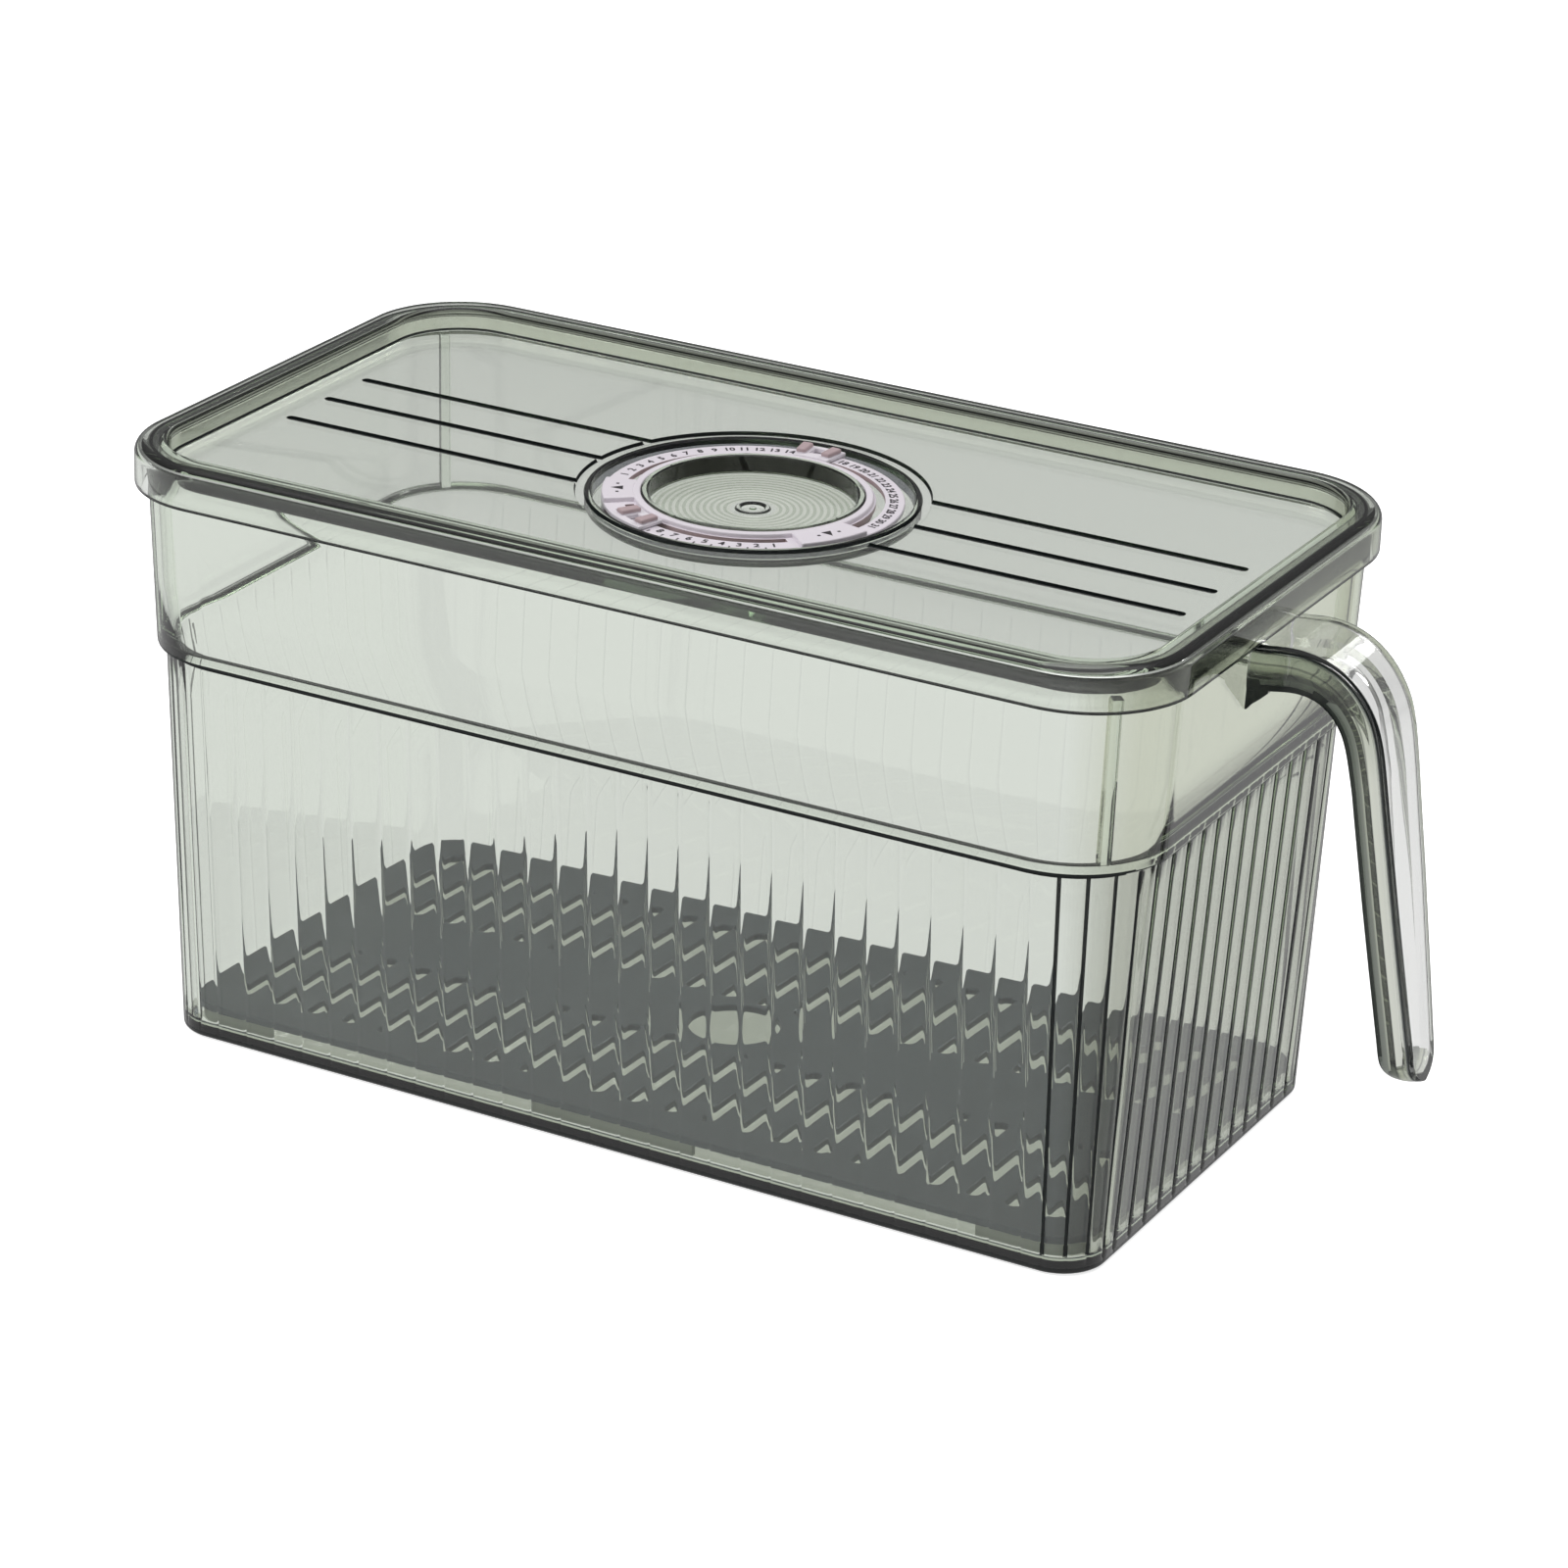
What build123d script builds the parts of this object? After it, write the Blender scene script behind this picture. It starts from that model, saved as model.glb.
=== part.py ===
from build123d import *
import math
import os

# Lidded kitchen storage bin: a clear tinted bin with a moulded pull handle, a lift-off
# lid with a date dial let into it, and a loose drain tray on the bin's floor.
# Millimetres. Origin: centre of the bin's base. +X: towards the handle. +Z: up.
# The front long wall faces -Y.

# ---- overall -------------------------------------------------------------------
LID_L = 285.0            # lid, outside length
LID_W = 155.5            # lid, outside width
LID_TOP = 158.0          # top of the lid's rim
SKIRT_Z = 147.0          # lower edge of the lid's skirt

# ---- bin -----------------------------------------------------------------------
WALL = 2.2
FLOOR = 2.5
BASE_A, BASE_B, BASE_R = 130.6, 65.85, 12.0      # half length, half width, corner at the base
BASE_FILLET = 1.4
STEP_Z = 105.1                                   # shoulder between fluted wall and plain band
LOW_A, LOW_B, LOW_R = 136.3, 71.55, 24.0         # just under the shoulder
BAND_A, BAND_B, BAND_R = 138.3, 73.55, 25.5      # just above the shoulder
RIM_A, RIM_B, RIM_R = 140.0, 75.25, 26.5         # at the bin's rim
RIM_Z = 155.5
FLUTE_N_LONG = 27                                # flutes on each long wall
FLUTE_P_LONG = 8.45
FLUTE_N_END = 12                                 # flutes on each end wall
FLUTE_N_CORNER = 5                               # flutes round each corner
FLUTE_P_END = 8.25
FLUTE_GROOVE = 1.3                               # width of the valley between two flutes
FLUTE_DEPTH = 0.5
CORNER_RIB_T = 2.0                               # stacking ribs in the band's corners
CORNER_RIB_REACH = 3.2
CORNER_RIB_TOP = 149.0

# ---- lid -----------------------------------------------------------------------
LID_R = 27.5
SKIRT_T = 2.0
RIM_IN = 8.4             # rim's inner edge, in from the outside
RIM_WALL = 2.0           # wall between rim channel and panel recess
PANEL_TOP = 152.2
PANEL_T = 2.2
CHANNEL_TOP = 155.5      # roof of the rim channel, which sits on the bin's rim
RIM_ROUND = 3.2
RIM_ROUND_IN = 1.2
WELL_R = 39.8            # well that holds the dial
WELL_OUT_R = 41.3
WELL_FLOOR = 147.6
WELL_BOTTOM = 145.8
CUP_R_OUT = 27.5         # ring wall round the finger cup
CUP_R_IN = 25.9
CUP_TOP = 152.4
NUB_R = 4.0
RING_GROOVE_IN, RING_GROOVE_OUT = 41.2, 43.9
GROOVE_D = 0.9
LINE_GROOVE_W = 2.4
LINE_GROOVE_Y = 17.5
LINE_GROOVE_END = 124.7

# ---- dial ----------------------------------------------------------------------
PLATE_R_IN = 27.5
PLATE_R_OUT = 37.2
PLATE_TOP = 150.8
PLATE_UNDER = 149.6
PLATE_RIM_TOP = 152.0    # inner rim and the two raised blocks
PLATE_RIM_R = 29.6
SLOT_R_IN, SLOT_R_OUT = 30.1, 32.4
DAY_A0, DAY_A1 = -13.0, 196.0        # day scale's arc, degrees from +X, anticlockwise
MONTH_A0, MONTH_A1 = 220.5, 317.5    # month scale's arc
DAY_REST = 91.2
MONTH_REST = 244.5
SLIDER_HALF = 9.0        # half the slider's top plate, degrees
SLIDER_LEG_HALF = 4.0

# ---- drain tray ----------------------------------------------------------------
TRAY_A, TRAY_B, TRAY_R = 127.2, 62.5, 10.6
TRAY_TOP = 8.4
TRAY_T = 2.0
TRAY_SLOT_N = 23
TRAY_SLOT_P = 10.47
TRAY_SLOT_W = 3.4
TRAY_SLOT_Y0, TRAY_SLOT_Y1 = 13.6, 52.2
TRAY_HOLE_R = 11.8
TRAY_FOOT_T = 1.8
TRAY_FOOT_IN = 1.2
TRAY_FOOT_X = 100.0      # each corner foot runs from here round the corner
TRAY_FOOT_Y = 36.0
TRAY_MID_FOOT = 22.5     # half length of the foot in the middle of each long side

# ---- handle --------------------------------------------------------------------
HANDLE_T = 2.0
# outer face of the handle's plate, in the XZ plane, from the root to the tip
HANDLE_PATH = [(134.0, 146.4), (139.0, 146.5), (143.0, 146.7), (148.0, 147.25), (153.0, 147.1),
               (158.0, 145.9), (163.0, 143.3), (167.5, 139.1), (171.0, 133.6), (173.0, 127.8),
               (174.5, 120.0), (176.5, 107.0), (178.4, 95.0), (181.2, 77.0), (184.2, 58.0),
               (185.9, 47.0), (186.7, 41.2)]
HANDLE_DEPTH_ROOT = 11.4
HANDLE_DEPTH_LEG = 8.9
# half width against height, for the leg
HANDLE_HALF_Z = [(150.0, 13.3), (144.0, 12.6), (137.0, 11.6), (128.0, 11.1), (120.0, 10.7),
                 (95.0, 9.9), (77.0, 8.8), (58.0, 7.6), (49.0, 7.0)]
HANDLE_TIP_Z = 41.2
# half width against reach, for the arch
HANDLE_HALF_X = [(130.0, 13.3), (148.0, 13.2), (155.0, 12.7), (163.0, 12.0), (172.0, 11.7), (200.0, 11.7)]
GUSSET_H, GUSSET_L = 5.0, 4.6


def rr(a, b, r, z):
    return Pos(0, 0, z) * RectangleRounded(2 * a, 2 * b, r)


def prism(a, b, r, z0, z1):
    return extrude(rr(a, b, r, z0), amount=z1 - z0)


def taper(a0, b0, r0, z0, a1, b1, r1, z1):
    return loft([rr(a0, b0, r0, z0), rr(a1, b1, r1, z1)])


def mix(z, z0, z1, v0, v1):
    return v0 + (v1 - v0) * (z - z0) / (z1 - z0)


def low_at(z):
    return [mix(z, 0, STEP_Z, p, q) for p, q in ((BASE_A, LOW_A), (BASE_B, LOW_B), (BASE_R, LOW_R))]


def band_at(z):
    return [mix(z, STEP_Z, RIM_Z, p, q) for p, q in ((BAND_A, RIM_A), (BAND_B, RIM_B), (BAND_R, RIM_R))]


def ring(r_out, r_in, z0, z1):
    return Pos(0, 0, z0) * extrude(Circle(r_out) - Circle(r_in), amount=z1 - z0)


def sector(r_in, r_out, a0, a1, z0, z1):
    """An arc-shaped block between two radii and two angles."""
    am = (a0 + a1) / 2
    p = lambda r, a: (r * math.cos(math.radians(a)), r * math.sin(math.radians(a)))
    outer = ThreePointArc(p(r_out, a0), p(r_out, am), p(r_out, a1))
    inner = ThreePointArc(p(r_in, a1), p(r_in, am), p(r_in, a0))
    edges = [outer, Line(p(r_out, a1), p(r_in, a1)), inner, Line(p(r_in, a0), p(r_out, a0))]
    return Pos(0, 0, z0) * extrude(make_face(Wire(edges)), amount=z1 - z0)


# ================================================================================
# bin body
# ================================================================================
outer_low = taper(BASE_A, BASE_B, BASE_R, 0, LOW_A, LOW_B, LOW_R, STEP_Z)
outer_low = fillet(outer_low.edges().group_by(Axis.Z)[0], BASE_FILLET)
outer_band = taper(*[*band_at(STEP_Z)], STEP_Z, *[*band_at(RIM_Z)], RIM_Z)
bin_outer = outer_low + outer_band


def inset(v, w):
    return [v[0] - w, v[1] - w, max(v[2] - w, 2.0)]


LEDGE_Z = STEP_Z + WALL
inner_low = taper(*inset(low_at(FLOOR), WALL), FLOOR, *inset(low_at(LEDGE_Z), WALL), LEDGE_Z)
inner_low = fillet(inner_low.edges().group_by(Axis.Z)[0], 1.4)
inner_band = taper(*inset(band_at(LEDGE_Z), WALL), LEDGE_Z, *inset(band_at(RIM_Z + 1), WALL), RIM_Z + 1)
bin_solid = bin_outer - (inner_low + inner_band)

# stacking ribs that stand on the inner ledge, one on each corner's diagonal
for sx in (1, -1):
    for sy in (1, -1):
        a, b, r = band_at(STEP_Z + 20)
        cx, cy = sx * (a - r), sy * (b - r)
        ang = math.degrees(math.atan2(sy, sx))
        rib = Pos(cx, cy, 0) * Rot(0, 0, ang) * Pos(r - WALL - CORNER_RIB_REACH / 2 + 0.9, 0, (LEDGE_Z + CORNER_RIB_TOP) / 2 - 0.5) * Box(
            CORNER_RIB_REACH + 1.8, CORNER_RIB_T, CORNER_RIB_TOP - LEDGE_Z + 1.0)
        bin_solid = bin_solid + (rib & bin_outer)

# valleys between the flutes: V grooves that follow the wall's draft
slope_a = math.degrees(math.atan((LOW_A - BASE_A) / STEP_Z))
slope_b = math.degrees(math.atan((LOW_B - BASE_B) / STEP_Z))
GROOVE_Z0, GROOVE_Z1 = 3.2, STEP_Z - 0.01


def valley(x, along):
    """A V groove down one wall at a distance x from that wall's middle."""
    w, d = FLUTE_GROOVE / 2, FLUTE_DEPTH
    def tri(z):
        a, b, _ = low_at(z)
        if along == "front":
            pts = [(x - w, -b - 0.02), (x + w, -b - 0.02), (x, -b + d)]
        elif along == "back":
            pts = [(x - w, b + 0.02), (x, b - d), (x + w, b + 0.02)]
        elif along == "right":
            pts = [(a + 0.02, x - w), (a + 0.02, x + w), (a - d, x)]
        else:
            pts = [(-a - 0.02, x - w), (-a + d, x), (-a - 0.02, x + w)]
        return Pos(0, 0, z) * make_face(Polyline(*pts, close=True))
    return loft([tri(GROOVE_Z0), tri(GROOVE_Z1)])


cuts = []
for i in range(FLUTE_N_LONG + 1):
    x = (i - FLUTE_N_LONG / 2) * FLUTE_P_LONG
    cuts += [valley(x, "front"), valley(x, "back")]
for i in range(FLUTE_N_END + 1):
    y = (i - FLUTE_N_END / 2) * FLUTE_P_END
    if abs(y) < LOW_B - 12:
        cuts += [valley(y, "left")]
        cuts += [valley(y, "right")]


def corner_valley(share, sx, sy):
    """A V groove down a rounded corner, at a share of the way from the long wall's last valley to the end wall's first."""
    w, d = FLUTE_GROOVE / 2, FLUTE_DEPTH
    x_end, y_end = FLUTE_N_LONG / 2 * FLUTE_P_LONG, FLUTE_N_END / 2 * FLUTE_P_END

    def tri(z):
        a, b, r = low_at(z)
        fa, fb = a - r, b - r
        flat1, flat2 = max(0.0, fa - x_end), max(0.0, fb - y_end)
        t0 = math.asin(max(0.0, (x_end - fa) / r))
        t1 = math.acos(max(0.0, (y_end - fb) / r))
        s = (flat1 + r * (t1 - t0) + flat2) * share
        if s <= flat1:
            px, py, nx, ny = x_end + s, b, 0.0, 1.0
        elif s <= flat1 + r * (t1 - t0):
            th = t0 + (s - flat1) / r
            px, py, nx, ny = fa + r * math.sin(th), fb + r * math.cos(th), math.sin(th), math.cos(th)
        else:
            px, py, nx, ny = a, fb - (s - flat1 - r * (t1 - t0)), 1.0, 0.0
        out = 0.06
        pts = [(px + nx * out - ny * w, py + ny * out + nx * w), (px + nx * out + ny * w, py + ny * out - nx * w), (px - nx * d, py - ny * d)]
        pts = [(sx * x, sy * y) for x, y in pts]
        if sx * sy < 0:
            pts = [pts[1], pts[0], pts[2]]
        return Pos(0, 0, z) * make_face(Polyline(*pts, close=True))
    return loft([tri(GROOVE_Z0), tri((GROOVE_Z0 + GROOVE_Z1) / 2), tri(GROOVE_Z1)], ruled=True)


for sx in (1, -1):
    for sy in (1, -1):
        cuts += [corner_valley(k / FLUTE_N_CORNER, sx, sy) for k in range(1, FLUTE_N_CORNER)]
cuts = [c for c in cuts if c.bounding_box().max.Z > 0]
bin_body = bin_solid - cuts

# ================================================================================
# handle: a channel section, open towards the bin, that arches out under the lid
# ================================================================================


def offset_path(points, depth):
    """Points moved inward, to the path's right hand as it runs from root to tip."""
    out = []
    for i, (x, z) in enumerate(points):
        x0, z0 = points[max(i - 1, 0)]
        x1, z1 = points[min(i + 1, len(points) - 1)]
        t = math.hypot(x1 - x0, z1 - z0)
        nx, nz = (z1 - z0) / t, -(x1 - x0) / t
        d = depth(i / (len(points) - 1)) if callable(depth) else depth
        out.append((x + nx * d, z + nz * d))
    return out


def leg_depth(t):
    return mix(min(t / 0.45, 1.0), 0, 1, HANDLE_DEPTH_ROOT, HANDLE_DEPTH_LEG)


def xz_region(outer, inner):
    e = [Spline(*outer), Line(outer[-1], inner[-1]), Spline(*reversed(inner)), Line(inner[0], outer[0])]
    return make_face(Wire(e))


def side_outline(shrink):
    """The leg's outline seen along X: tapering sides and a round tip."""
    right = [(w - shrink, z) for z, w in HANDLE_HALF_Z]
    wt, zt = right[-1]
    pts_r = Spline(*right)
    pts_l = Spline(*[(-y, z) for y, z in reversed(right)])
    tip = Spline((wt, zt), (wt * 0.72, mix(0.30, 0, 1, HANDLE_TIP_Z + shrink, zt)), (0, HANDLE_TIP_Z + shrink),
                 (-wt * 0.72, mix(0.30, 0, 1, HANDLE_TIP_Z + shrink, zt)), (-wt, zt))
    top = Line((-right[0][0], right[0][1]), (right[0][0], right[0][1]))
    return make_face(Wire([pts_r, tip, pts_l, top]))


def top_outline(shrink):
    """The arch's outline seen along Z."""
    pts = [(x, w - shrink) for x, w in HANDLE_HALF_X]
    return make_face(Polyline(*pts, *[(x, -w) for x, w in reversed(pts)], close=True))


def handle_block(outer, inner, shrink):
    body = extrude(Plane.XZ * xz_region(outer, inner), amount=16, both=True)
    side = extrude(Plane.YZ.offset(125) * side_outline(shrink), amount=80)
    top = Pos(0, 0, 30) * extrude(top_outline(shrink), amount=130)
    return body & side & top


path_out = HANDLE_PATH
path_free = offset_path(path_out, leg_depth)
handle_outer = handle_block(path_out, path_free, 0.0)
path_skin = offset_path(path_out, HANDLE_T)
path_past = offset_path(path_out, lambda t: leg_depth(t) + 6)
handle_core = handle_block(path_skin, path_past, HANDLE_T)
handle = handle_outer - handle_core
for s in (1, -1):
    zf = 135.3
    web = Plane.XZ.offset(-s * 12.2) * make_face(Polyline((136.5, zf + 1.5), (140.2 + GUSSET_L, zf + 1.5), (140.2 + GUSSET_L, zf), (139.6, zf - GUSSET_H), (136.5, zf - GUSSET_H), close=True))
    handle = handle + extrude(web, amount=0.9, both=True)
handle = handle - bin_outer
handle = max(handle.solids(), key=lambda s: s.volume)

# ================================================================================
# lid
# ================================================================================
lid = prism(LID_L / 2, LID_W / 2, LID_R, SKIRT_Z, LID_TOP)
lid = fillet(lid.edges().group_by(Axis.Z)[-1], RIM_ROUND)
lid = fillet(lid.edges().group_by(Axis.Z)[0], 0.5)
recess = prism(LID_L / 2 - RIM_IN, LID_W / 2 - RIM_IN, LID_R - RIM_IN, PANEL_TOP, LID_TOP + 1)
lid = lid - recess
top_in = [e for e in lid.edges().group_by(Axis.Z)[-1] if abs(e.center().X) < LID_L / 2 - RIM_IN + 0.5 and abs(e.center().Y) < LID_W / 2 - RIM_IN + 0.5]
lid = fillet(top_in, RIM_ROUND_IN)
under = prism(LID_L / 2 - SKIRT_T, LID_W / 2 - SKIRT_T, LID_R - SKIRT_T, SKIRT_Z - 1, PANEL_TOP - PANEL_T)
chan_in = RIM_IN - RIM_WALL
channel = prism(LID_L / 2 - SKIRT_T, LID_W / 2 - SKIRT_T, LID_R - SKIRT_T, SKIRT_Z, CHANNEL_TOP) - prism(
    LID_L / 2 - chan_in, LID_W / 2 - chan_in, LID_R - chan_in, SKIRT_Z - 1, CHANNEL_TOP + 1)
lid = lid - under - channel
well_body = Pos(0, 0, WELL_BOTTOM) * extrude(Circle(WELL_OUT_R), amount=PANEL_TOP - WELL_BOTTOM)
well_body = fillet(well_body.edges().group_by(Axis.Z)[0], 1.3)
lid = lid + well_body
lid = lid - Pos(0, 0, WELL_FLOOR) * extrude(Circle(WELL_R), amount=20)
lid = lid + ring(CUP_R_OUT, CUP_R_IN, WELL_FLOOR - 0.3, CUP_TOP)
lid = lid + Pos(0, 0, WELL_FLOOR - 0.3) * extrude(Circle(NUB_R), amount=0.8)
line_cut = []
for sx in (1, -1):
    for y in (-LINE_GROOVE_Y, 0.0, LINE_GROOVE_Y):
        x0 = math.sqrt(((RING_GROOVE_IN + RING_GROOVE_OUT) / 2) ** 2 - y * y)
        x1 = LINE_GROOVE_END
        c = Pos(sx * (x0 + x1) / 2, y, PANEL_TOP - GROOVE_D) * extrude(SlotOverall(x1 - x0 + LINE_GROOVE_W, LINE_GROOVE_W), amount=2)
        line_cut.append(c)
lid = lid - ring(RING_GROOVE_OUT, RING_GROOVE_IN, PANEL_TOP - GROOVE_D, PANEL_TOP + 1) - line_cut

# ================================================================================
# dial plate, with an arc slot for each slider and two raised blocks between the scales
# ================================================================================
def sector_sketch(r_in, r_out, a0, a1):
    am = (a0 + a1) / 2
    p = lambda r, a: (r * math.cos(math.radians(a)), r * math.sin(math.radians(a)))
    edges = [ThreePointArc(p(r_out, a0), p(r_out, am), p(r_out, a1)), Line(p(r_out, a1), p(r_in, a1)),
             ThreePointArc(p(r_in, a1), p(r_in, am), p(r_in, a0)), Line(p(r_in, a0), p(r_out, a0))]
    return make_face(Wire(edges))


BLOCKS = [(DAY_A1, MONTH_A0), (MONTH_A1, DAY_A0 + 360.0)]
raised = Circle(PLATE_RIM_R) - Circle(PLATE_R_IN)
for a0, a1 in BLOCKS:
    raised += sector_sketch(PLATE_RIM_R - 0.4, PLATE_R_OUT, a0, a1)
scale = Circle(PLATE_R_OUT) - Circle(PLATE_R_IN)
for a0, a1 in ((DAY_A0, DAY_A1), (MONTH_A0, MONTH_A1)):
    scale -= sector_sketch(SLOT_R_IN, SLOT_R_OUT, a0 + 3.5, a1 - 3.5)
dial_plate = Pos(0, 0, WELL_FLOOR) * extrude(raised, amount=PLATE_UNDER - WELL_FLOOR)
dial_plate += Pos(0, 0, PLATE_UNDER) * extrude(scale, amount=PLATE_TOP - PLATE_UNDER)
dial_plate += Pos(0, 0, PLATE_TOP) * extrude(raised, amount=PLATE_RIM_TOP - PLATE_TOP)


def slider(mid):
    """A date marker: a top plate with a number window and two grip bumps, a leg through
    the arc slot with a foot under the scale, and a lip over the plate's outer edge."""
    s = sector(30.4, 38.5, mid - SLIDER_HALF, mid + SLIDER_HALF, PLATE_TOP + 0.15, PLATE_TOP + 1.15)
    s -= sector(33.0, 36.6, mid - 3.0, mid + 3.0, PLATE_TOP - 1, PLATE_TOP + 3)
    for k in (-1, 1):
        bump = sector(31.6, 37.2, mid + k * 6.2 - 2.3, mid + k * 6.2 + 2.3, PLATE_TOP + 1.0, PLATE_TOP + 2.4)
        bump = fillet(bump.edges().group_by(Axis.Z)[-1], 0.5)
        s += bump
    s += sector(30.4, 32.1, mid - SLIDER_LEG_HALF, mid + SLIDER_LEG_HALF, PLATE_UNDER - 1.3, PLATE_TOP + 0.5)
    s += sector(30.4, 33.6, mid - SLIDER_LEG_HALF, mid + SLIDER_LEG_HALF, PLATE_UNDER - 1.3, PLATE_UNDER - 0.3)
    s += sector(37.5, 38.5, mid - SLIDER_HALF, mid + SLIDER_HALF, PLATE_UNDER - 0.4, PLATE_TOP + 0.5)
    return s


day_slider = slider(DAY_REST)
month_slider = slider(MONTH_REST)

# ================================================================================
# drain tray
# ================================================================================
tray = prism(TRAY_A, TRAY_B, TRAY_R, TRAY_TOP - TRAY_T, TRAY_TOP)
tray = fillet(tray.edges().group_by(Axis.Z)[-1], 0.7)
slots = []
slot_len = TRAY_SLOT_Y1 - TRAY_SLOT_Y0
for i in range(TRAY_SLOT_N):
    x = (i - (TRAY_SLOT_N - 1) / 2) * TRAY_SLOT_P
    for s in (1, -1):
        slots.append(Pos(x, s * (TRAY_SLOT_Y0 + TRAY_SLOT_Y1) / 2, TRAY_TOP - TRAY_T - 1) * Rot(0, 0, 90) * extrude(
            SlotOverall(slot_len, TRAY_SLOT_W), amount=TRAY_T + 2))
slots.append(Pos(0, 0, TRAY_TOP - TRAY_T - 1) * extrude(Circle(TRAY_HOLE_R), amount=TRAY_T + 2))
tray = tray - slots
wall_ring = prism(TRAY_A - TRAY_FOOT_IN, TRAY_B - TRAY_FOOT_IN, TRAY_R - TRAY_FOOT_IN, FLOOR + 0.02, TRAY_TOP - TRAY_T + 0.2) - prism(
    TRAY_A - TRAY_FOOT_IN - TRAY_FOOT_T, TRAY_B - TRAY_FOOT_IN - TRAY_FOOT_T, TRAY_R - TRAY_FOOT_IN - TRAY_FOOT_T, FLOOR - 1, TRAY_TOP)
for sx in (1, -1):
    for sy in (1, -1):
        corner = Pos(sx * (TRAY_FOOT_X + 20), sy * (TRAY_FOOT_Y + 20), 5) * Box(40, 40, 12)
        tray = tray + (wall_ring & corner)
for sy in (1, -1):
    tray = tray + (wall_ring & Pos(0, sy * TRAY_B, 5) * Box(2 * TRAY_MID_FOOT, 20, 12))
drain_tray = tray

NODES = {
    "bin_body": bin_body,
    "handle": handle,
    "lid": lid,
    "dial_plate": dial_plate,
    "day_slider": day_slider,
    "month_slider": month_slider,
    "drain_tray": drain_tray,
}

os.makedirs("parts", exist_ok=True)
for name, shape in NODES.items():
    export_step(shape, f"parts/{name}.step")
    box = shape.bounding_box()
    print(name, len(shape.solids()), "solid(s)", round(shape.volume / 1000, 2), "cm3",
          [round(v, 1) for v in (box.min.X, box.min.Y, box.min.Z, box.max.X, box.max.Y, box.max.Z)])
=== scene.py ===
import math

import bmesh
import bpy
from mathutils import Matrix, Vector


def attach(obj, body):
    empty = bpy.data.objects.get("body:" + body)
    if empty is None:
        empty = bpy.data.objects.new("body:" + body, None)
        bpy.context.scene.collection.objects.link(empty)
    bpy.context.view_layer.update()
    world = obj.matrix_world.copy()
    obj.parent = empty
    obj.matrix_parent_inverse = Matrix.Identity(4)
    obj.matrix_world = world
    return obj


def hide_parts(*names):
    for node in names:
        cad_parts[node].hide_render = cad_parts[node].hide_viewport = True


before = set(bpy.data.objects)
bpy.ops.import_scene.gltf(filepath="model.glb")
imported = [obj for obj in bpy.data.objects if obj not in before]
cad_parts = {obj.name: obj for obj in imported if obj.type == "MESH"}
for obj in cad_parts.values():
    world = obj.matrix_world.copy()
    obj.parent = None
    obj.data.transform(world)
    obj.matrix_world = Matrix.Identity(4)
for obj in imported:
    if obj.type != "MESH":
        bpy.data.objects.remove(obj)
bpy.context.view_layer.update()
MM = 0.001

# ---- sizes in millimetres, in the row's frame ------------------------------------
STEP_Z, RIM_Z, WALL, FLOOR = 105.1, 155.5, 2.2, 2.5
BASE = (130.6, 65.85, 12.0)
LOW = (136.3, 71.55, 24.0)
BAND = (138.3, 73.55, 25.5)
RIM = (140.0, 75.25, 26.5)
PITCH_X, NX = 8.45, 27
PITCH_Y, NY = 8.25, 12
LID_A, LID_B, LID_R = 142.5, 77.75, 27.5


# ==================================================================================
# helpers
# ==================================================================================
def link(obj):
    bpy.context.scene.collection.objects.link(obj)
    return obj


def add_mesh(name, verts, faces, mats=(), smooth=True, sharp=None):
    """A mesh from millimetre coordinates."""
    me = bpy.data.meshes.new(name)
    me.from_pydata([(x * MM, y * MM, z * MM) for x, y, z in verts], [], faces)
    me.update()
    for m in mats:
        me.materials.append(m)
    obj = link(bpy.data.objects.new(name, me))
    shade(obj, smooth, sharp)
    return obj


def shade(obj, smooth=True, sharp=None):
    me = obj.data
    me.polygons.foreach_set("use_smooth", [smooth] * len(me.polygons))
    if smooth and sharp is not None:
        me.set_sharp_from_angle(angle=math.radians(sharp))
    me.update()


def outward(obj):
    bm = bmesh.new()
    bm.from_mesh(obj.data)
    bmesh.ops.recalc_face_normals(bm, faces=bm.faces)
    bm.to_mesh(obj.data)
    bm.free()


def stack_loops(loops, cap_start=True, cap_end=True, closed=False):
    """Quads between equal-length loops, with a face at each end."""
    verts = [p for loop in loops for p in loop]
    n = len(loops[0])
    faces = []
    rows = len(loops)
    for j in range(rows if closed else rows - 1):
        k = (j + 1) % rows
        for i in range(n):
            i2 = (i + 1) % n
            faces.append((j * n + i, j * n + i2, k * n + i2, k * n + i))
    if cap_start and not closed:
        faces.append(tuple(reversed(range(n))))
    if cap_end and not closed:
        faces.append(tuple((rows - 1) * n + i for i in range(n)))
    return verts, faces


def boolean(obj, other, kind):
    mod = obj.modifiers.new("cut", "BOOLEAN")
    mod.operation = kind
    mod.object = other
    mod.solver = "EXACT"
    dg = bpy.context.evaluated_depsgraph_get()
    me = bpy.data.meshes.new_from_object(obj.evaluated_get(dg))
    obj.modifiers.clear()
    old = obj.data
    obj.data = me
    bpy.data.meshes.remove(old)
    gone = other.data
    bpy.data.objects.remove(other)
    bpy.data.meshes.remove(gone)
    return obj


def tidy(obj, dist=0.002, sharp=30):
    bm = bmesh.new()
    bm.from_mesh(obj.data)
    bmesh.ops.remove_doubles(bm, verts=bm.verts, dist=dist * MM)
    bmesh.ops.dissolve_degenerate(bm, edges=bm.edges, dist=dist * MM)
    bmesh.ops.recalc_face_normals(bm, faces=bm.faces)
    bm.to_mesh(obj.data)
    bm.free()
    shade(obj, True, sharp)


def area_normals(obj):
    """Large faces keep their own shading, and small ones beside them take up the turn."""
    mod = obj.modifiers.new("normals", "WEIGHTED_NORMAL")
    mod.mode = "FACE_AREA"
    mod.weight = 80
    mod.keep_sharp = True


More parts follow.
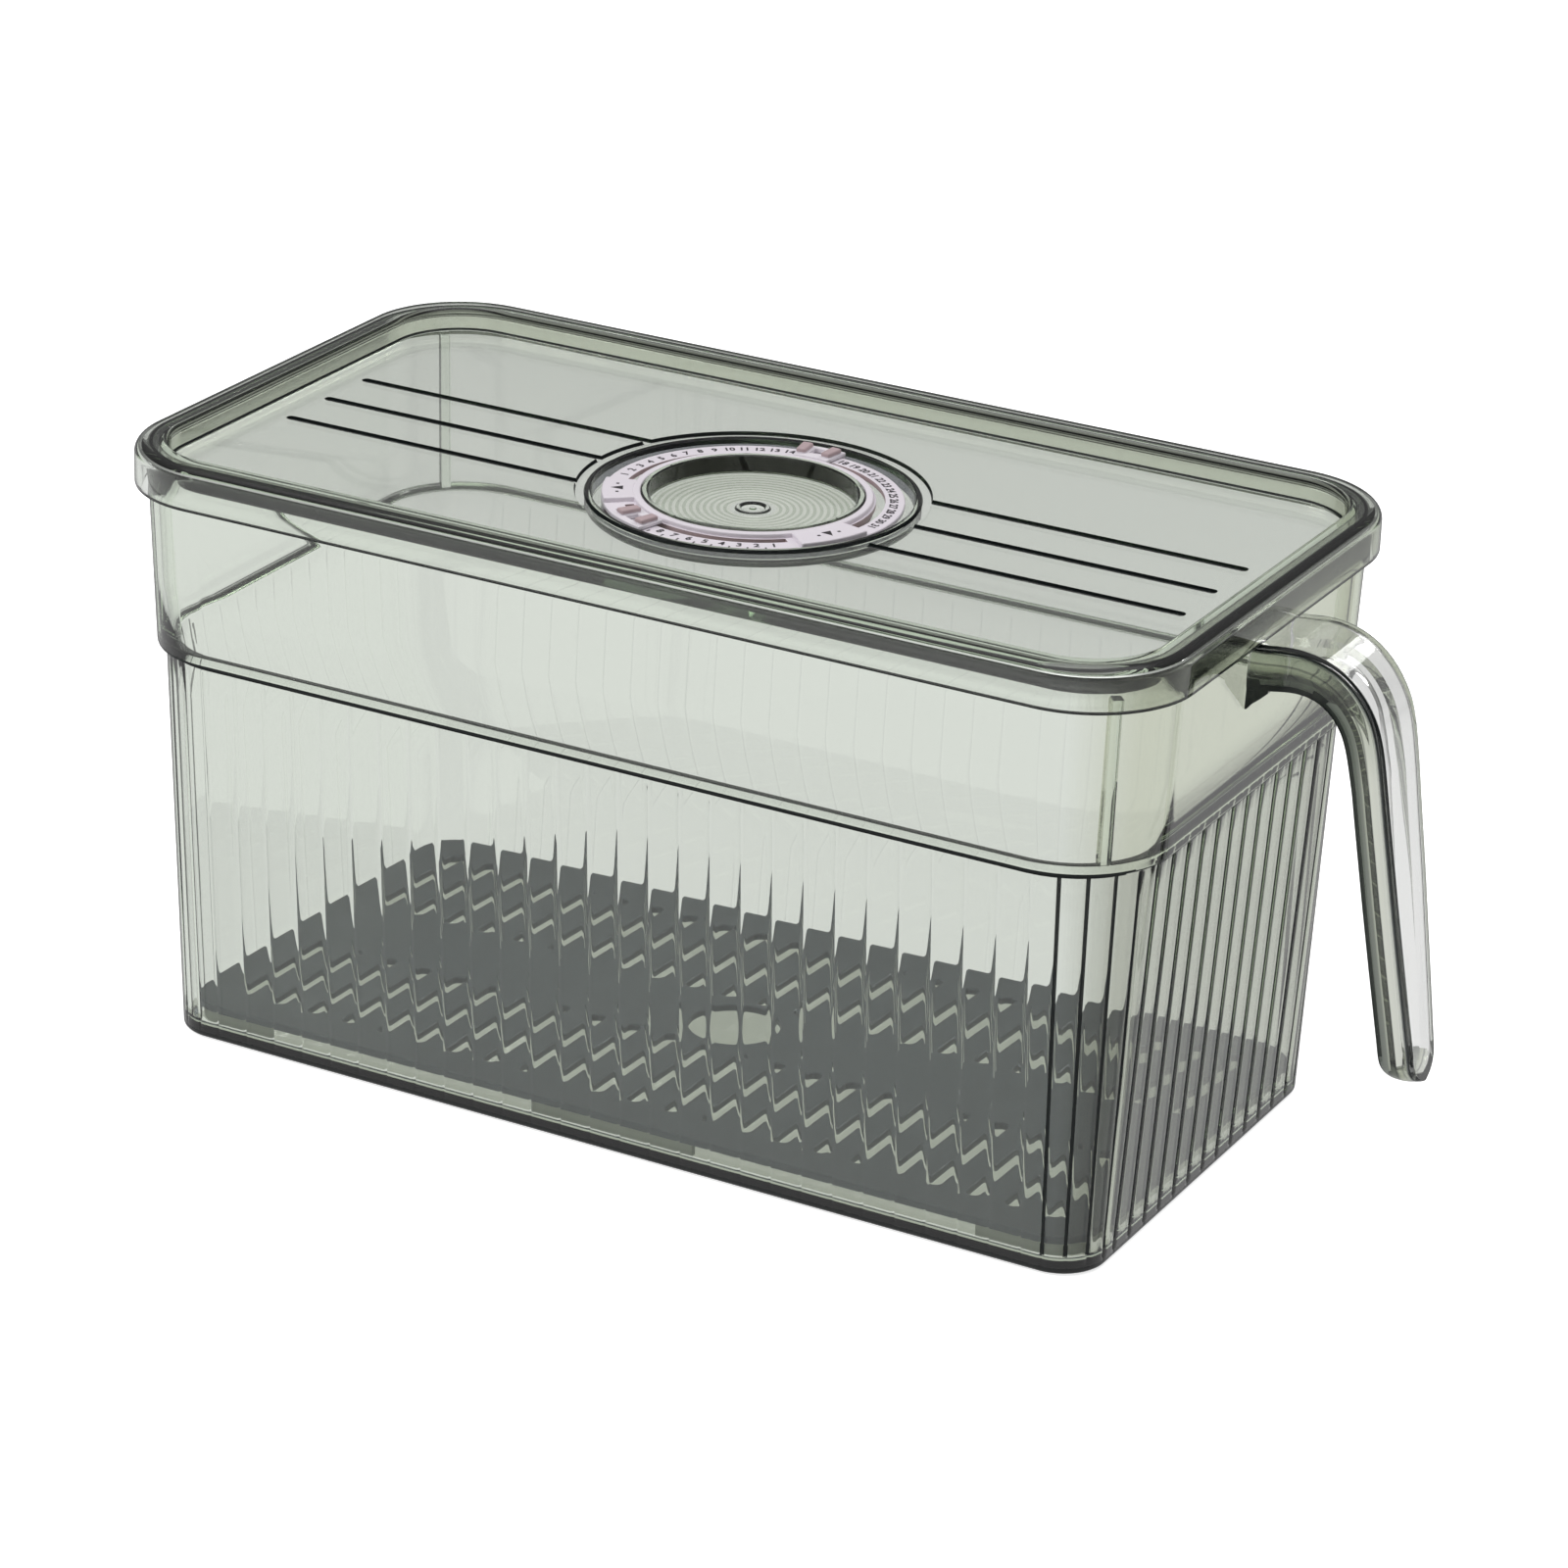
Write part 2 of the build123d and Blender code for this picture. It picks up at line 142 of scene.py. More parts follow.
def lerp(a, b, t):
    return a + (b - a) * t


def lerp3(p, q, t):
    return tuple(lerp(a, b, t) for a, b in zip(p, q))


# ==================================================================================
# materials
# ==================================================================================
def new_mat(name):
    m = bpy.data.materials.new(name)
    m.use_nodes = True
    nt = m.node_tree
    for n in list(nt.nodes):
        nt.nodes.remove(n)
    out = nt.nodes.new("ShaderNodeOutputMaterial")
    bsdf = nt.nodes.new("ShaderNodeBsdfPrincipled")
    nt.links.new(bsdf.outputs["BSDF"], out.inputs["Surface"])
    return m, nt, bsdf, out


def tone_ramp(nt, source, stops):
    ramp = nt.nodes.new("ShaderNodeValToRGB")
    cr = ramp.color_ramp
    cr.elements[0].position, cr.elements[0].color = stops[0][0], (*stops[0][1], 1)
    cr.elements[1].position, cr.elements[1].color = stops[-1][0], (*stops[-1][1], 1)
    for pos, col in stops[1:-1]:
        cr.elements.new(pos).color = (*col, 1)
    nt.links.new(source, ramp.inputs["Fac"])
    return ramp.outputs["Color"]


def clear_plastic(name, absorb, density, rough=0.015, ior=1.56, shade_bands=None, span=1.0, shade_by_height=None):
    """Clear tinted plastic with painted shade: a near-black shader is mixed in where it is met at a glancing angle, and
    by each face's share of painted shade. Its tint is the mesh's tone attribute, most of it painted shade. With bands,
    faces marked as rail get stripes of painted shade and painted highlight by the inset attribute, from 0 to span
    millimetres, and painted shade by their height."""
    m, nt, bsdf, out = new_mat(name)
    bsdf.inputs["Transmission Weight"].default_value = 1.0
    bsdf.inputs["IOR"].default_value = ior
    bsdf.inputs["Roughness"].default_value = rough
    vol = nt.nodes.new("ShaderNodeVolumeAbsorption")
    vol.inputs["Color"].default_value = (*absorb, 1)
    vol.inputs["Density"].default_value = density
    nt.links.new(vol.outputs["Volume"], out.inputs["Volume"])
    tex = nt.nodes.new("ShaderNodeTexCoord")
    # slow changes of gloss
    noise = nt.nodes.new("ShaderNodeTexNoise")
    noise.inputs["Scale"].default_value = 22.0
    noise.inputs["Detail"].default_value = 2.0
    nt.links.new(tex.outputs["Object"], noise.inputs["Vector"])
    mr = nt.nodes.new("ShaderNodeMapRange")
    mr.inputs["To Min"].default_value = rough * 0.6
    mr.inputs["To Max"].default_value = rough * 1.5
    nt.links.new(noise.outputs["Fac"], mr.inputs["Value"])
    nt.links.new(mr.outputs["Result"], bsdf.inputs["Roughness"])
    if shade_bands:
        at = nt.nodes.new("ShaderNodeAttribute")
        at.attribute_name = "inset"
        div = nt.nodes.new("ShaderNodeMath")
        div.operation = "DIVIDE"
        div.inputs[1].default_value = span
        nt.links.new(at.outputs["Fac"], div.inputs[0])
        col = tone_ramp(nt, div.outputs[0], shade_bands)
        if shade_by_height:
            sep = nt.nodes.new("ShaderNodeSeparateXYZ")
            nt.links.new(tex.outputs["Object"], sep.inputs[0])
            k = nt.nodes.new("ShaderNodeMath")
            k.operation = "DIVIDE"
            k.inputs[1].default_value = 0.16
            nt.links.new(sep.outputs["Z"], k.inputs[0])
            mul = nt.nodes.new("ShaderNodeMix")
            mul.data_type = "RGBA"
            mul.blend_type = "MULTIPLY"
            mul.inputs[0].default_value = 1.0
            nt.links.new(col, mul.inputs[6])
            nt.links.new(tone_ramp(nt, k.outputs[0], shade_by_height), mul.inputs[7])
            col = mul.outputs[2]
        rail = nt.nodes.new("ShaderNodeAttribute")
        rail.attribute_name = "rail"
        pick = nt.nodes.new("ShaderNodeMix")
        pick.data_type = "RGBA"
        pick.inputs[6].default_value = (1, 1, 1, 1)
        nt.links.new(rail.outputs["Fac"], pick.inputs[0])
        nt.links.new(col, pick.inputs[7])
        nt.links.new(pick.outputs[2], bsdf.inputs["Base Color"])
    else:
        tone = nt.nodes.new("ShaderNodeAttribute")
        tone.attribute_name = "tone"
        nt.links.new(tone.outputs["Color"], bsdf.inputs["Base Color"])
    # painted shade: a near-black shader mixed in at glancing angles, and on each face by its share of painted shade
    dark = nt.nodes.new("ShaderNodeBsdfPrincipled")
    dark.inputs["Base Color"].default_value = (0.008, 0.011, 0.011, 1)
    dark.inputs["Roughness"].default_value = 0.35
    dark.inputs["Specular IOR Level"].default_value = 0.15
    lw = nt.nodes.new("ShaderNodeLayerWeight")
    lw.inputs["Blend"].default_value = 0.5
    fac = tone_ramp(nt, lw.outputs["Facing"], [(0.745, (0, 0, 0)), (0.82, (0.30,) * 3), (0.89, (0.78,) * 3), (0.95, (1, 1, 1))])
    painted_dark = nt.nodes.new("ShaderNodeAttribute")
    painted_dark.attribute_name = "painted_dark"
    most = nt.nodes.new("ShaderNodeMath")
    most.operation = "MAXIMUM"
    nt.links.new(fac, most.inputs[0])
    nt.links.new(painted_dark.outputs["Fac"], most.inputs[1])
    mix = nt.nodes.new("ShaderNodeMixShader")
    nt.links.new(most.outputs[0], mix.inputs[0])
    nt.links.new(bsdf.outputs[0], mix.inputs[1])
    nt.links.new(dark.outputs[0], mix.inputs[2])
    nt.links.new(mix.outputs[0], out.inputs["Surface"])
    return m


def moulded(name, colour, rough=0.35, vary=0.03, grain=0.02, grain_scale=2600.0):
    """Opaque moulded plastic: a fine grain, and slow changes of tone and gloss."""
    m, nt, bsdf, out = new_mat(name)
    tex = nt.nodes.new("ShaderNodeTexCoord")
    slow = nt.nodes.new("ShaderNodeTexNoise")
    slow.inputs["Scale"].default_value = 35.0
    slow.inputs["Detail"].default_value = 3.0
    nt.links.new(tex.outputs["Object"], slow.inputs["Vector"])
    ramp = nt.nodes.new("ShaderNodeMix")
    ramp.data_type = "RGBA"
    lo = [max(0, c * (1 - vary * 2)) for c in colour]
    hi = [min(1, c * (1 + vary * 2)) for c in colour]
    ramp.inputs[6].default_value = (*lo, 1)
    ramp.inputs[7].default_value = (*hi, 1)
    nt.links.new(slow.outputs["Fac"], ramp.inputs[0])
    nt.links.new(ramp.outputs[2], bsdf.inputs["Base Color"])
    mr = nt.nodes.new("ShaderNodeMapRange")
    mr.inputs["To Min"].default_value = rough - 0.05
    mr.inputs["To Max"].default_value = rough + 0.05
    nt.links.new(slow.outputs["Fac"], mr.inputs["Value"])
    nt.links.new(mr.outputs["Result"], bsdf.inputs["Roughness"])
    fine = nt.nodes.new("ShaderNodeTexNoise")
    fine.inputs["Scale"].default_value = grain_scale
    fine.inputs["Detail"].default_value = 2.0
    nt.links.new(tex.outputs["Object"], fine.inputs["Vector"])
    bump = nt.nodes.new("ShaderNodeBump")
    bump.inputs["Strength"].default_value = 0.5
    bump.inputs["Distance"].default_value = grain * MM
    nt.links.new(fine.outputs["Fac"], bump.inputs["Height"])
    nt.links.new(bump.outputs["Normal"], bsdf.inputs["Normal"])
    bsdf.inputs["IOR"].default_value = 1.5
    return m


GREEN, DENSE = (0.62, 0.74, 0.55), 95.0
M_BIN = clear_plastic("clear_bin", GREEN, DENSE)
M_LID = clear_plastic("clear_lid", GREEN, 70.0)
# painted shade and painted highlight: stripes of dark and pale olive across the handle's rail, darker towards its top
M_HANDLE = clear_plastic("clear_handle", (0.70, 0.76, 0.62), 18.0, shade_bands=[
    (0.0, (0.02, 0.025, 0.025)), (0.14, (0.03, 0.035, 0.035)), (0.20, (0.52, 0.55, 0.47)), (0.40, (0.60, 0.63, 0.52)), (0.45, (0.05, 0.06, 0.05)),
    (0.50, (0.42, 0.45, 0.34)), (0.58, (0.24, 0.27, 0.19)), (0.66, (0.05, 0.06, 0.045)), (0.84, (0.02, 0.025, 0.02)), (1.0, (0.003, 0.004, 0.004))], span=9.2,
    shade_by_height=[(0.25, (0.9,) * 3), (0.34, (1, 1, 1)), (0.74, (0.97, 0.98, 0.94)), (0.82, (0.62, 0.66, 0.56)), (0.89, (0.30, 0.34, 0.28)), (1.0, (0.26, 0.30, 0.25))])
M_TRAY = moulded("tray_slate", (0.074, 0.092, 0.104), rough=0.42)
# painted light: the tray's feet get a paler tint than its slate, standing in for the light under the tray
M_FEET = moulded("tray_feet", (0.46, 0.49, 0.42), rough=0.45)
M_DIAL = moulded("dial_lilac", (0.77, 0.72, 0.775), rough=0.33, grain=0.006)
# painted shade: a darker mauve for the dial's lower faces and slots' walls and the sliders' bumps
M_DIAL_SHADE = moulded("dial_painted_shade", (0.46, 0.35, 0.365), rough=0.4, grain=0.006)
M_SLIDER = moulded("slider_lilac", (0.79, 0.75, 0.795), rough=0.32, grain=0.006)
M_INK = moulded("dial_ink", (0.03, 0.024, 0.03), rough=0.5, grain=0.004)


def tone_faces(obj, pick):
    """Writes two face attributes from the face's centre in millimetres and its normal: the tone, a tint that is mostly
    painted shade, and a share of painted shade."""
    cols, painted_darks = [], []
    for p in obj.data.polygons:
        t = pick(p.center / MM, p.normal)
        cols += [*t[:3], 1.0]
        painted_darks.append(t[3] if len(t) > 3 else 0.0)
    obj.data.attributes.new("tone", "FLOAT_COLOR", "FACE").data.foreach_set("color", cols)
    obj.data.attributes.new("painted_dark", "FLOAT", "FACE").data.foreach_set("value", painted_darks)


def towards_end(n, tone):
    """Painted shade: a darker tone that comes in as a wall turns from the long side to the end."""
    return lerp3((1.0, 1.0, 1.0), tone, min(1.0, max(0.0, (abs(n.x) - 0.35) / 0.5)))


# ==================================================================================
# bin
# ==================================================================================
def round_corner(a, b, r, t):
    """The point at a share t of the way from the last front valley round the corner to the first valley of the end wall."""
    fa, fb = a - r, b - r
    flat1, flat2 = max(0.0, fa - X_END), max(0.0, fb - Y_END)
    t0 = math.asin(min(1.0, max(0.0, (X_END - fa) / r)))
    t1 = math.acos(min(1.0, max(0.0, (Y_END - fb) / r)))
    arc = r * (t1 - t0)
    total = flat1 + arc + flat2
    s = total * t
    if s <= flat1:
        return (X_END + s, -b), (0.0, -1.0), total
    if s <= flat1 + arc:
        th = t0 + (s - flat1) / r
        return (fa + r * math.sin(th), -fb - r * math.cos(th)), (math.sin(th), -math.cos(th)), total
    return (a, -fb + (s - flat1 - arc)), (1.0, 0.0), total


def on_front(a, b, r, x):
    """The point of the front side at a given x, with its normal."""
    fa, fb = a - r, b - r
    if abs(x) <= fa:
        return (x, -b), (0.0, -1.0)
    sn = min(1.0, (abs(x) - fa) / r)
    cs = math.sqrt(max(0.0, 1 - sn * sn))
    sg = 1 if x > 0 else -1
    return (sg * (fa + r * sn), -fb - r * cs), (sg * sn, -cs)


def on_right(a, b, r, y):
    fa, fb = a - r, b - r
    if abs(y) <= fb:
        return (a, y), (1.0, 0.0)
    sn = min(1.0, (abs(y) - fb) / r)
    cs = math.sqrt(max(0.0, 1 - sn * sn))
    sg = 1 if y > 0 else -1
    return (fa + r * cs, sg * (fb + r * sn)), (cs, sg * sn)


N_CORNER_FLUTES = 5
LEFT_SHARE = 0.0            # the left end's flutes have the long walls' section,
LEFT_SCALE = 0.3            # and less of its depth
S_LONG = [0.0, 0.05, 0.10, 0.15, 0.20, 0.26, 0.40, 0.60, 0.80]     # distance to a valley as a share of half the pitch
S_END = [0.0, 0.05, 0.10, 0.15, 0.20, 0.26, 0.32, 0.50, 0.75]
X_END, Y_END = NX / 2 * PITCH_X, NY / 2 * PITCH_Y


def zone(n, shares):
    """Places along a run of n flutes, from 0 to 1, with the distance to the nearest valley as a share of half the pitch."""
    out = []
    for i in range(n):
        for u in shares:
            out.append(((i + u / 2) / n, u))
        out.append(((i + 0.5) / n, 1.0))
        for u in reversed(shares[1:]):
            out.append(((i + 1 - u / 2) / n, u))
    out.append((1.0, 0.0))
    return out


Z_LONG, Z_CORNER, Z_END = zone(NX, S_LONG), zone(N_CORNER_FLUTES, S_END)[1:-1], zone(NY, S_END)


def perimeter(spec):
    """Closed loop of (x, y), normal, distance to a valley, share of the end walls' flute and depth scale, anticlockwise
    from above."""
    a, b, r = spec
    front = [(*on_front(a, b, r, lerp(-X_END, X_END, t)), u * PITCH_X / 2, 0.0) for t, u in Z_LONG]
    right = [(*on_right(a, b, r, lerp(-Y_END, Y_END, t)), u * PITCH_Y / 2, 1.0) for t, u in Z_END]
    corner = []
    for t, u in Z_CORNER:
        p, n, total = round_corner(a, b, r, t)
        corner.append((p, n, u * total / N_CORNER_FLUTES / 2, t))
    half = front + corner + right + [((p[0], -p[1]), (n[0], -n[1]), d, k) for p, n, d, k in reversed(corner)]
    return [(*q, 1.0) for q in half] + [((-p[0], -p[1]), (-n[0], -n[1]), d, k * LEFT_SHARE, lerp(1.0, LEFT_SCALE, k)) for p, n, d, k in half]


def corner_gap(c):
    """Distance from a point of the lower wall to the nearest valley of the rounded corner."""
    a, b, r = low_at(c.z)
    fa, fb = a - r, b - r
    flat1, flat2 = max(0.0, fa - X_END), max(0.0, fb - Y_END)
    t0 = math.asin(min(1.0, max(0.0, (X_END - fa) / r)))
    t1 = math.acos(min(1.0, max(0.0, (Y_END - fb) / r)))
    dx, dy = abs(c.x) - fa, abs(c.y) - fb
    if dx <= 0:
        s = abs(c.x) - X_END
    elif dy <= 0:
        s = flat1 + r * (t1 - t0) + fb - abs(c.y)
    else:
        s = flat1 + r * (math.atan2(dx, dy) - t0)
    step = (flat1 + r * (t1 - t0) + flat2) / N_CORNER_FLUTES
    if s < -0.5 * step or s > (N_CORNER_FLUTES + 0.5) * step:
        return 99.0
    return abs(s / step - round(s / step)) * step


def flute_depth(d, k):
    long_ = 0.012 * max(0.0, 1 - d / 4.2) ** 2 + 0.18 * max(0.0, 1 - d / 1.1) ** 2
    end = 0.012 * max(0.0, 1 - d / 4.1) ** 2 + 0.42 * max(0.0, 1 - d / 1.32) ** 1.5
    return lerp(long_, end, k)


def loop_at(spec, z, flute=0.0):
    out = []
    for p, n, d, k, scale in perimeter(spec):
        h = flute * scale * flute_depth(d, k)
        out.append((p[0] - n[0] * h, p[1] - n[1] * h, z))
    return out


def low_at(z):
    return lerp3(BASE, LOW, z / STEP_Z)


def band_at(z):
    return lerp3(BAND, RIM, (z - STEP_Z) / (RIM_Z - STEP_Z))


def ins(spec, w):
    return (spec[0] - w, spec[1] - w, max(spec[2] - w, 1.0))


def build_bin():
    loops = []
    fr = 1.1
    loops.append(loop_at(ins(low_at(0), fr + 0.7), 0.0))
    for k in range(0, 7):                                # rounded bottom edge
        t = math.radians(90 * k / 6)
        z = fr - fr * math.cos(t)
        w = fr - fr * math.sin(t)
        loops.append(loop_at(ins(low_at(z), w), z, 0.0))
    for z, fl in ((1.7, 0.2), (2.1, 0.5), (2.6, 0.85), (3.2, 1), (4.9, 1), (8, 1), (50, 1), (95, 1), (102.0, 1), (102.9, 0.85), (103.5, 0.55), (103.9, 0.3),
                  (104.3, 0.12), (STEP_Z - 0.35, 0.04)):
        loops.append(loop_at(low_at(z), z, fl))
    loops.append(loop_at(ins(low_at(STEP_Z), -0.10), STEP_Z - 0.08))
    loops.append(loop_at(ins(low_at(STEP_Z), -0.45), STEP_Z))
    o = band_at(STEP_Z)
    loops.append(loop_at(ins(o, 0.45), STEP_Z))
    loops.append(loop_at(ins(o, 0.12), STEP_Z + 0.14))
    loops.append(loop_at(o, STEP_Z + 0.5))
    for z in (105.95, 125, 145, RIM_Z - 0.7):
        loops.append(loop_at(band_at(z), z))
    top = band_at(RIM_Z)
    loops.append(loop_at(ins(top, 0.2), RIM_Z - 0.2))
    loops.append(loop_at(ins(top, 0.7), RIM_Z))
    loops.append(loop_at(ins(top, WALL - 0.7), RIM_Z))
    loops.append(loop_at(ins(top, WALL - 0.2), RIM_Z - 0.2))
    loops.append(loop_at(ins(top, WALL), RIM_Z - 0.7))
    ledge = STEP_Z + WALL
    for z in (145, 125, ledge + 0.6):
        loops.append(loop_at(ins(band_at(z), WALL), z))
    loops.append(loop_at(ins(band_at(ledge), WALL + 0.15), ledge + 0.15))
    loops.append(loop_at(ins(band_at(ledge), WALL + 0.6), ledge))
    li = ins(low_at(ledge), WALL)
    loops.append(loop_at(ins(li, -0.5), ledge))
    loops.append(loop_at(ins(li, -0.14), ledge - 0.14))
    loops.append(loop_at(li, ledge - 0.5))
    for z in (95, 50, 8):
        loops.append(loop_at(ins(low_at(z), WALL), z))
    fi = 2.2
    for k in range(0, 7):
        t = math.radians(90 * k / 6)
        z = FLOOR + fi - fi * math.sin(t)
        w = fi - fi * math.cos(t)
        loops.append(loop_at(ins(ins(low_at(z), WALL), w), z))
    loops.append(loop_at(ins(ins(low_at(FLOOR), WALL), fi + 0.7), FLOOR))
    v, f = stack_loops(loops)
    obj = add_mesh("bin_shell", v, f, [M_BIN])
    outward(obj)
    # four stacking ribs on the inner ledge, on the corners' diagonals
    vs, fs = [], []
    for sx in (1, -1):
        for sy in (1, -1):
            ang = math.atan2(sy, sx)
            ux, uy = math.cos(ang), math.sin(ang)
            px, py = -uy, ux
            base = len(vs)
            for z, reach in ((ledge - 0.4, 3.3), (148.2, 2.95), (149.0, 2.2)):
                aa, bb, rr_ = band_at(z)
                cx, cy = sx * (aa - rr_), sy * (bb - rr_)
                r_wall = rr_ - WALL
                for u, w in ((0.35 - reach, -1.25), (0.6, -1.25), (0.6, 1.25), (0.35 - reach, 1.25), (-reach, 0.9), (-reach, -0.9)):
                    vs.append((cx + ux * (r_wall + u) + px * w, cy + uy * (r_wall + u) + py * w, z))
            for row in range(2):
                for i in range(6):
                    j = (i + 1) % 6
                    o0 = base + row * 6
                    fs.append((o0 + i, o0 + j, o0 + 6 + j, o0 + 6 + i))
            fs.append(tuple(base + i for i in reversed(range(6))))
            fs.append(tuple(base + 12 + i for i in range(6)))
    rib = add_mesh("rib", vs, fs, smooth=False)
    outward(rib)
    boolean(obj, rib, "UNION")
    tidy(obj, sharp=22)

    def pick(c, n):
        outer = n.x * c.x / RIM[0] ** 2 + n.y * c.y / RIM[1] ** 2 > 0
        # painted shade: a dark blue-grey band on the rounded edge round the base
        if outer and 0.002 < c.z < 1.7:                  # the edge round the base
            return (0.04, 0.06, 0.10, 0.45)
        front, right = c.y < -60, c.x > 0 and c.y < 60
        # painted shadow: a near-black line on the step under the band
        if outer and (103.9 if front else 104.9) < c.z < (105.95 if front else 105.55):     # the step under the band
            return (0.05, 0.05, 0.05, 1.0 if front or right else 0.6)
        # painted shade: the outer wall's lowest 4.9 mm is tinted darker
        if outer and c.z < 4.9:
            return (0.30, 0.32, 0.26)
        if abs(n.z) > 0.8:
            return (1.0, 1.0, 1.0)
        # painted shade: thin dark lines along the flutes' valleys, on the right end and at the rounded corners
        if outer and 3.0 < c.z < 104:
            side = c.x > 0 and abs(c.y) <= Y_END
            if side and abs(n.x) > 0.5:
                gap = abs(c.y / PITCH_Y - round(c.y / PITCH_Y)) * PITCH_Y
            else:
                gap = corner_gap(c)
            if gap < 0.5 and (side or abs(c.x) > X_END + 0.5) and (c.x > 0 or (n.x < -0.2 and c.y < 0)):
                return (0.3, 0.3, 0.3, 0.95 if c.x > 0 else 0.6)
        # painted shade: the right half's walls darken towards its end, the lower wall more than the band; the left half
        # stays clear
        if c.x < 0:
            return (1.0, 1.0, 1.0)
        return towards_end(n, (0.82, 0.82, 0.74) if c.z > 106 else (0.64, 0.64, 0.60))

    tone_faces(obj, pick)
    return obj


# ==================================================================================
# lid
# ==================================================================================
def rounded_rect(a, b, r, n_arc=24, n_x=24, n_y=12):
    """Closed loop of points, anticlockwise, the same count for any size."""
    pts = []
    fa, fb = a - r, b - r
    for k in range(n_x):
        pts.append((lerp(-fa, fa, k / n_x), -b))
    for k in range(n_arc):
        t = math.radians(-90 + 90 * k / n_arc)
        pts.append((fa + r * math.cos(t), -fb + r * math.sin(t)))
    for k in range(n_y):
        pts.append((a, lerp(-fb, fb, k / n_y)))
    for k in range(n_arc):
        t = math.radians(90 * k / n_arc)
        pts.append((fa + r * math.cos(t), fb + r * math.sin(t)))
    for k in range(n_x):
        pts.append((lerp(fa, -fa, k / n_x), b))
    for k in range(n_arc):
        t = math.radians(90 + 90 * k / n_arc)
        pts.append((-fa + r * math.cos(t), fb + r * math.sin(t)))
    for k in range(n_y):
        pts.append((-a, lerp(fb, -fb, k / n_y)))
    for k in range(n_arc):
        t = math.radians(180 + 90 * k / n_arc)
        pts.append((-fa + r * math.cos(t), -fb + r * math.sin(t)))
    return pts


def arc_pts(cx, cz, r, t0, t1, n):
    return [(cx + r * math.cos(math.radians(lerp(t0, t1, k / n))), cz + r * math.sin(math.radians(lerp(t0, t1, k / n)))) for k in range(n + 1)]


def revolve(profile, n=144):
    """Closed solid of revolution from (radius, z) points that start and end on the axis or form a ring."""
    loops = []
    for r, z in profile:
        loops.append([(r * math.cos(2 * math.pi * i / n), r * math.sin(2 * math.pi * i / n), z) for i in range(n)])
    return loops


def build_lid():
    # inset from the outside edge, height: from the panel's top edge, over the rim, round the skirt to the panel's underside
    prof = []
    prof += [(9.8, 152.2), (9.1, 152.2), (8.65, 152.28), (8.4, 152.6), (8.38, 154.5)]
    prof += [(7.15 + 1.2 * math.cos(math.radians(t)), 156.8 + 1.2 * math.sin(math.radians(t))) for t in range(0, 91, 15)]
    prof += [(5.2, 158.0)]
    prof += [(3.2 + 3.2 * math.cos(math.radians(t)), 154.8 + 3.2 * math.sin(math.radians(t))) for t in range(90, 181, 9)]
    prof += [(0.0, 151.0), (0.0, 147.5), (0.12, 147.15), (0.45, 147.0), (1.6, 147.0), (1.92, 147.15), (2.0, 147.5)]
    prof += [(2.0, 151.0), (2.05, 154.9), (2.2, 155.3), (2.6, 155.5), (5.8, 155.5), (6.2, 155.35), (6.38, 154.9), (6.4, 152.0), (6.4, 150.4), (6.55, 150.1), (6.9, 150.0), (7.7, 150.0)]
    loops = []
    for d, z in prof:
        loops.append([(x, y, z) for x, y in rounded_rect(LID_A - d, LID_B - d, max(LID_R - d, 1.0))])
    v, f = stack_loops(loops)
    lid = add_mesh("lid_shell", v, f, [M_LID])
    outward(lid)
    # the well, as a turned cup let into the panel
    cup = [(0.0001, 145.8), (39.6, 145.8)] + [(39.8 + 1.5 * math.sin(math.radians(t)), 147.3 - 1.5 * math.cos(math.radians(t))) for t in range(15, 91, 15)] + [(41.3, 151.2), (0.0001, 151.2)]
    v, f = stack_loops(revolve(cup))
    o = add_mesh("t", v, f)
    outward(o)
    boolean(lid, o, "UNION")
    ridges = []
    r = 5.6
    while r < 25.2:                                       # fine turned ridges on the cup's floor
        ridges += [(r, 147.60), (r + 0.42, 147.56)]
        r += 0.84
    nub = [(0.0001, 147.9), (0.8, 147.9), (0.9, 147.6), (2.9, 147.6), (3.1, 147.95), (3.5, 148.1), (4.0, 148.1), (4.3, 147.95), (4.5, 147.6)]
    cut = nub + ridges + [(25.9, 147.6), (39.3, 147.6), (39.65, 147.75), (39.8, 148.1), (39.8, 151.8), (39.9, 152.05), (40.15, 152.2), (40.15, 160), (0.0001, 160)]
    v, f = stack_loops(revolve(cut))
    o = add_mesh("t", v, f)
    outward(o)
    boolean(lid, o, "DIFFERENCE")
    # ring wall of the finger cup
    tube = [(25.9, 147.3), (27.44, 147.3), (27.44, 152.1), (27.2, 152.3), (26.2, 152.3), (25.9, 152.0)]
    v, f = stack_loops(revolve(tube), closed=True)
    o = add_mesh("t", v, f)
    outward(o)
    boolean(lid, o, "UNION")
    # ring groove
    ringg = [(41.5, 151.3), (43.6, 151.3), (43.9, 152.0), (44.1, 153.0), (41.0, 153.0), (41.2, 152.0)]
    v, f = stack_loops(revolve(ringg), closed=True)
    o = add_mesh("t", v, f)
    outward(o)
    boolean(lid, o, "DIFFERENCE")
    # straight grooves
    for sx in (1, -1):
        for y in (-17.5, 0.0, 17.5):
            w = 1.25
            x0 = math.sqrt(42.6 ** 2 - y * y)
            x1 = 124.7
            rows = []
            for z, ww in ((151.3, w - 0.35), (151.45, w - 0.12), (151.9, w), (153.2, w + 0.1)):
                pts = []
                for k in range(13):
                    t = math.radians(90 - 180 * k / 12)
                    pts.append((x1 - 1.25 + ww * math.cos(t), y + ww * math.sin(t), z))
                pts.append((x0, y - ww, z))
                pts.append((x0, y + ww, z))
                rows.append([(sx * p[0], p[1], p[2]) for p in pts])
            v, f = stack_loops(rows)
            o = add_mesh("t", v, f)
            outward(o)
            boolean(lid, o, "DIFFERENCE")
    tidy(lid, sharp=24)
    lid.data.materials.clear()
    lid.data.materials.append(M_LID)
    fa, fb = LID_A - LID_R, LID_B - LID_R

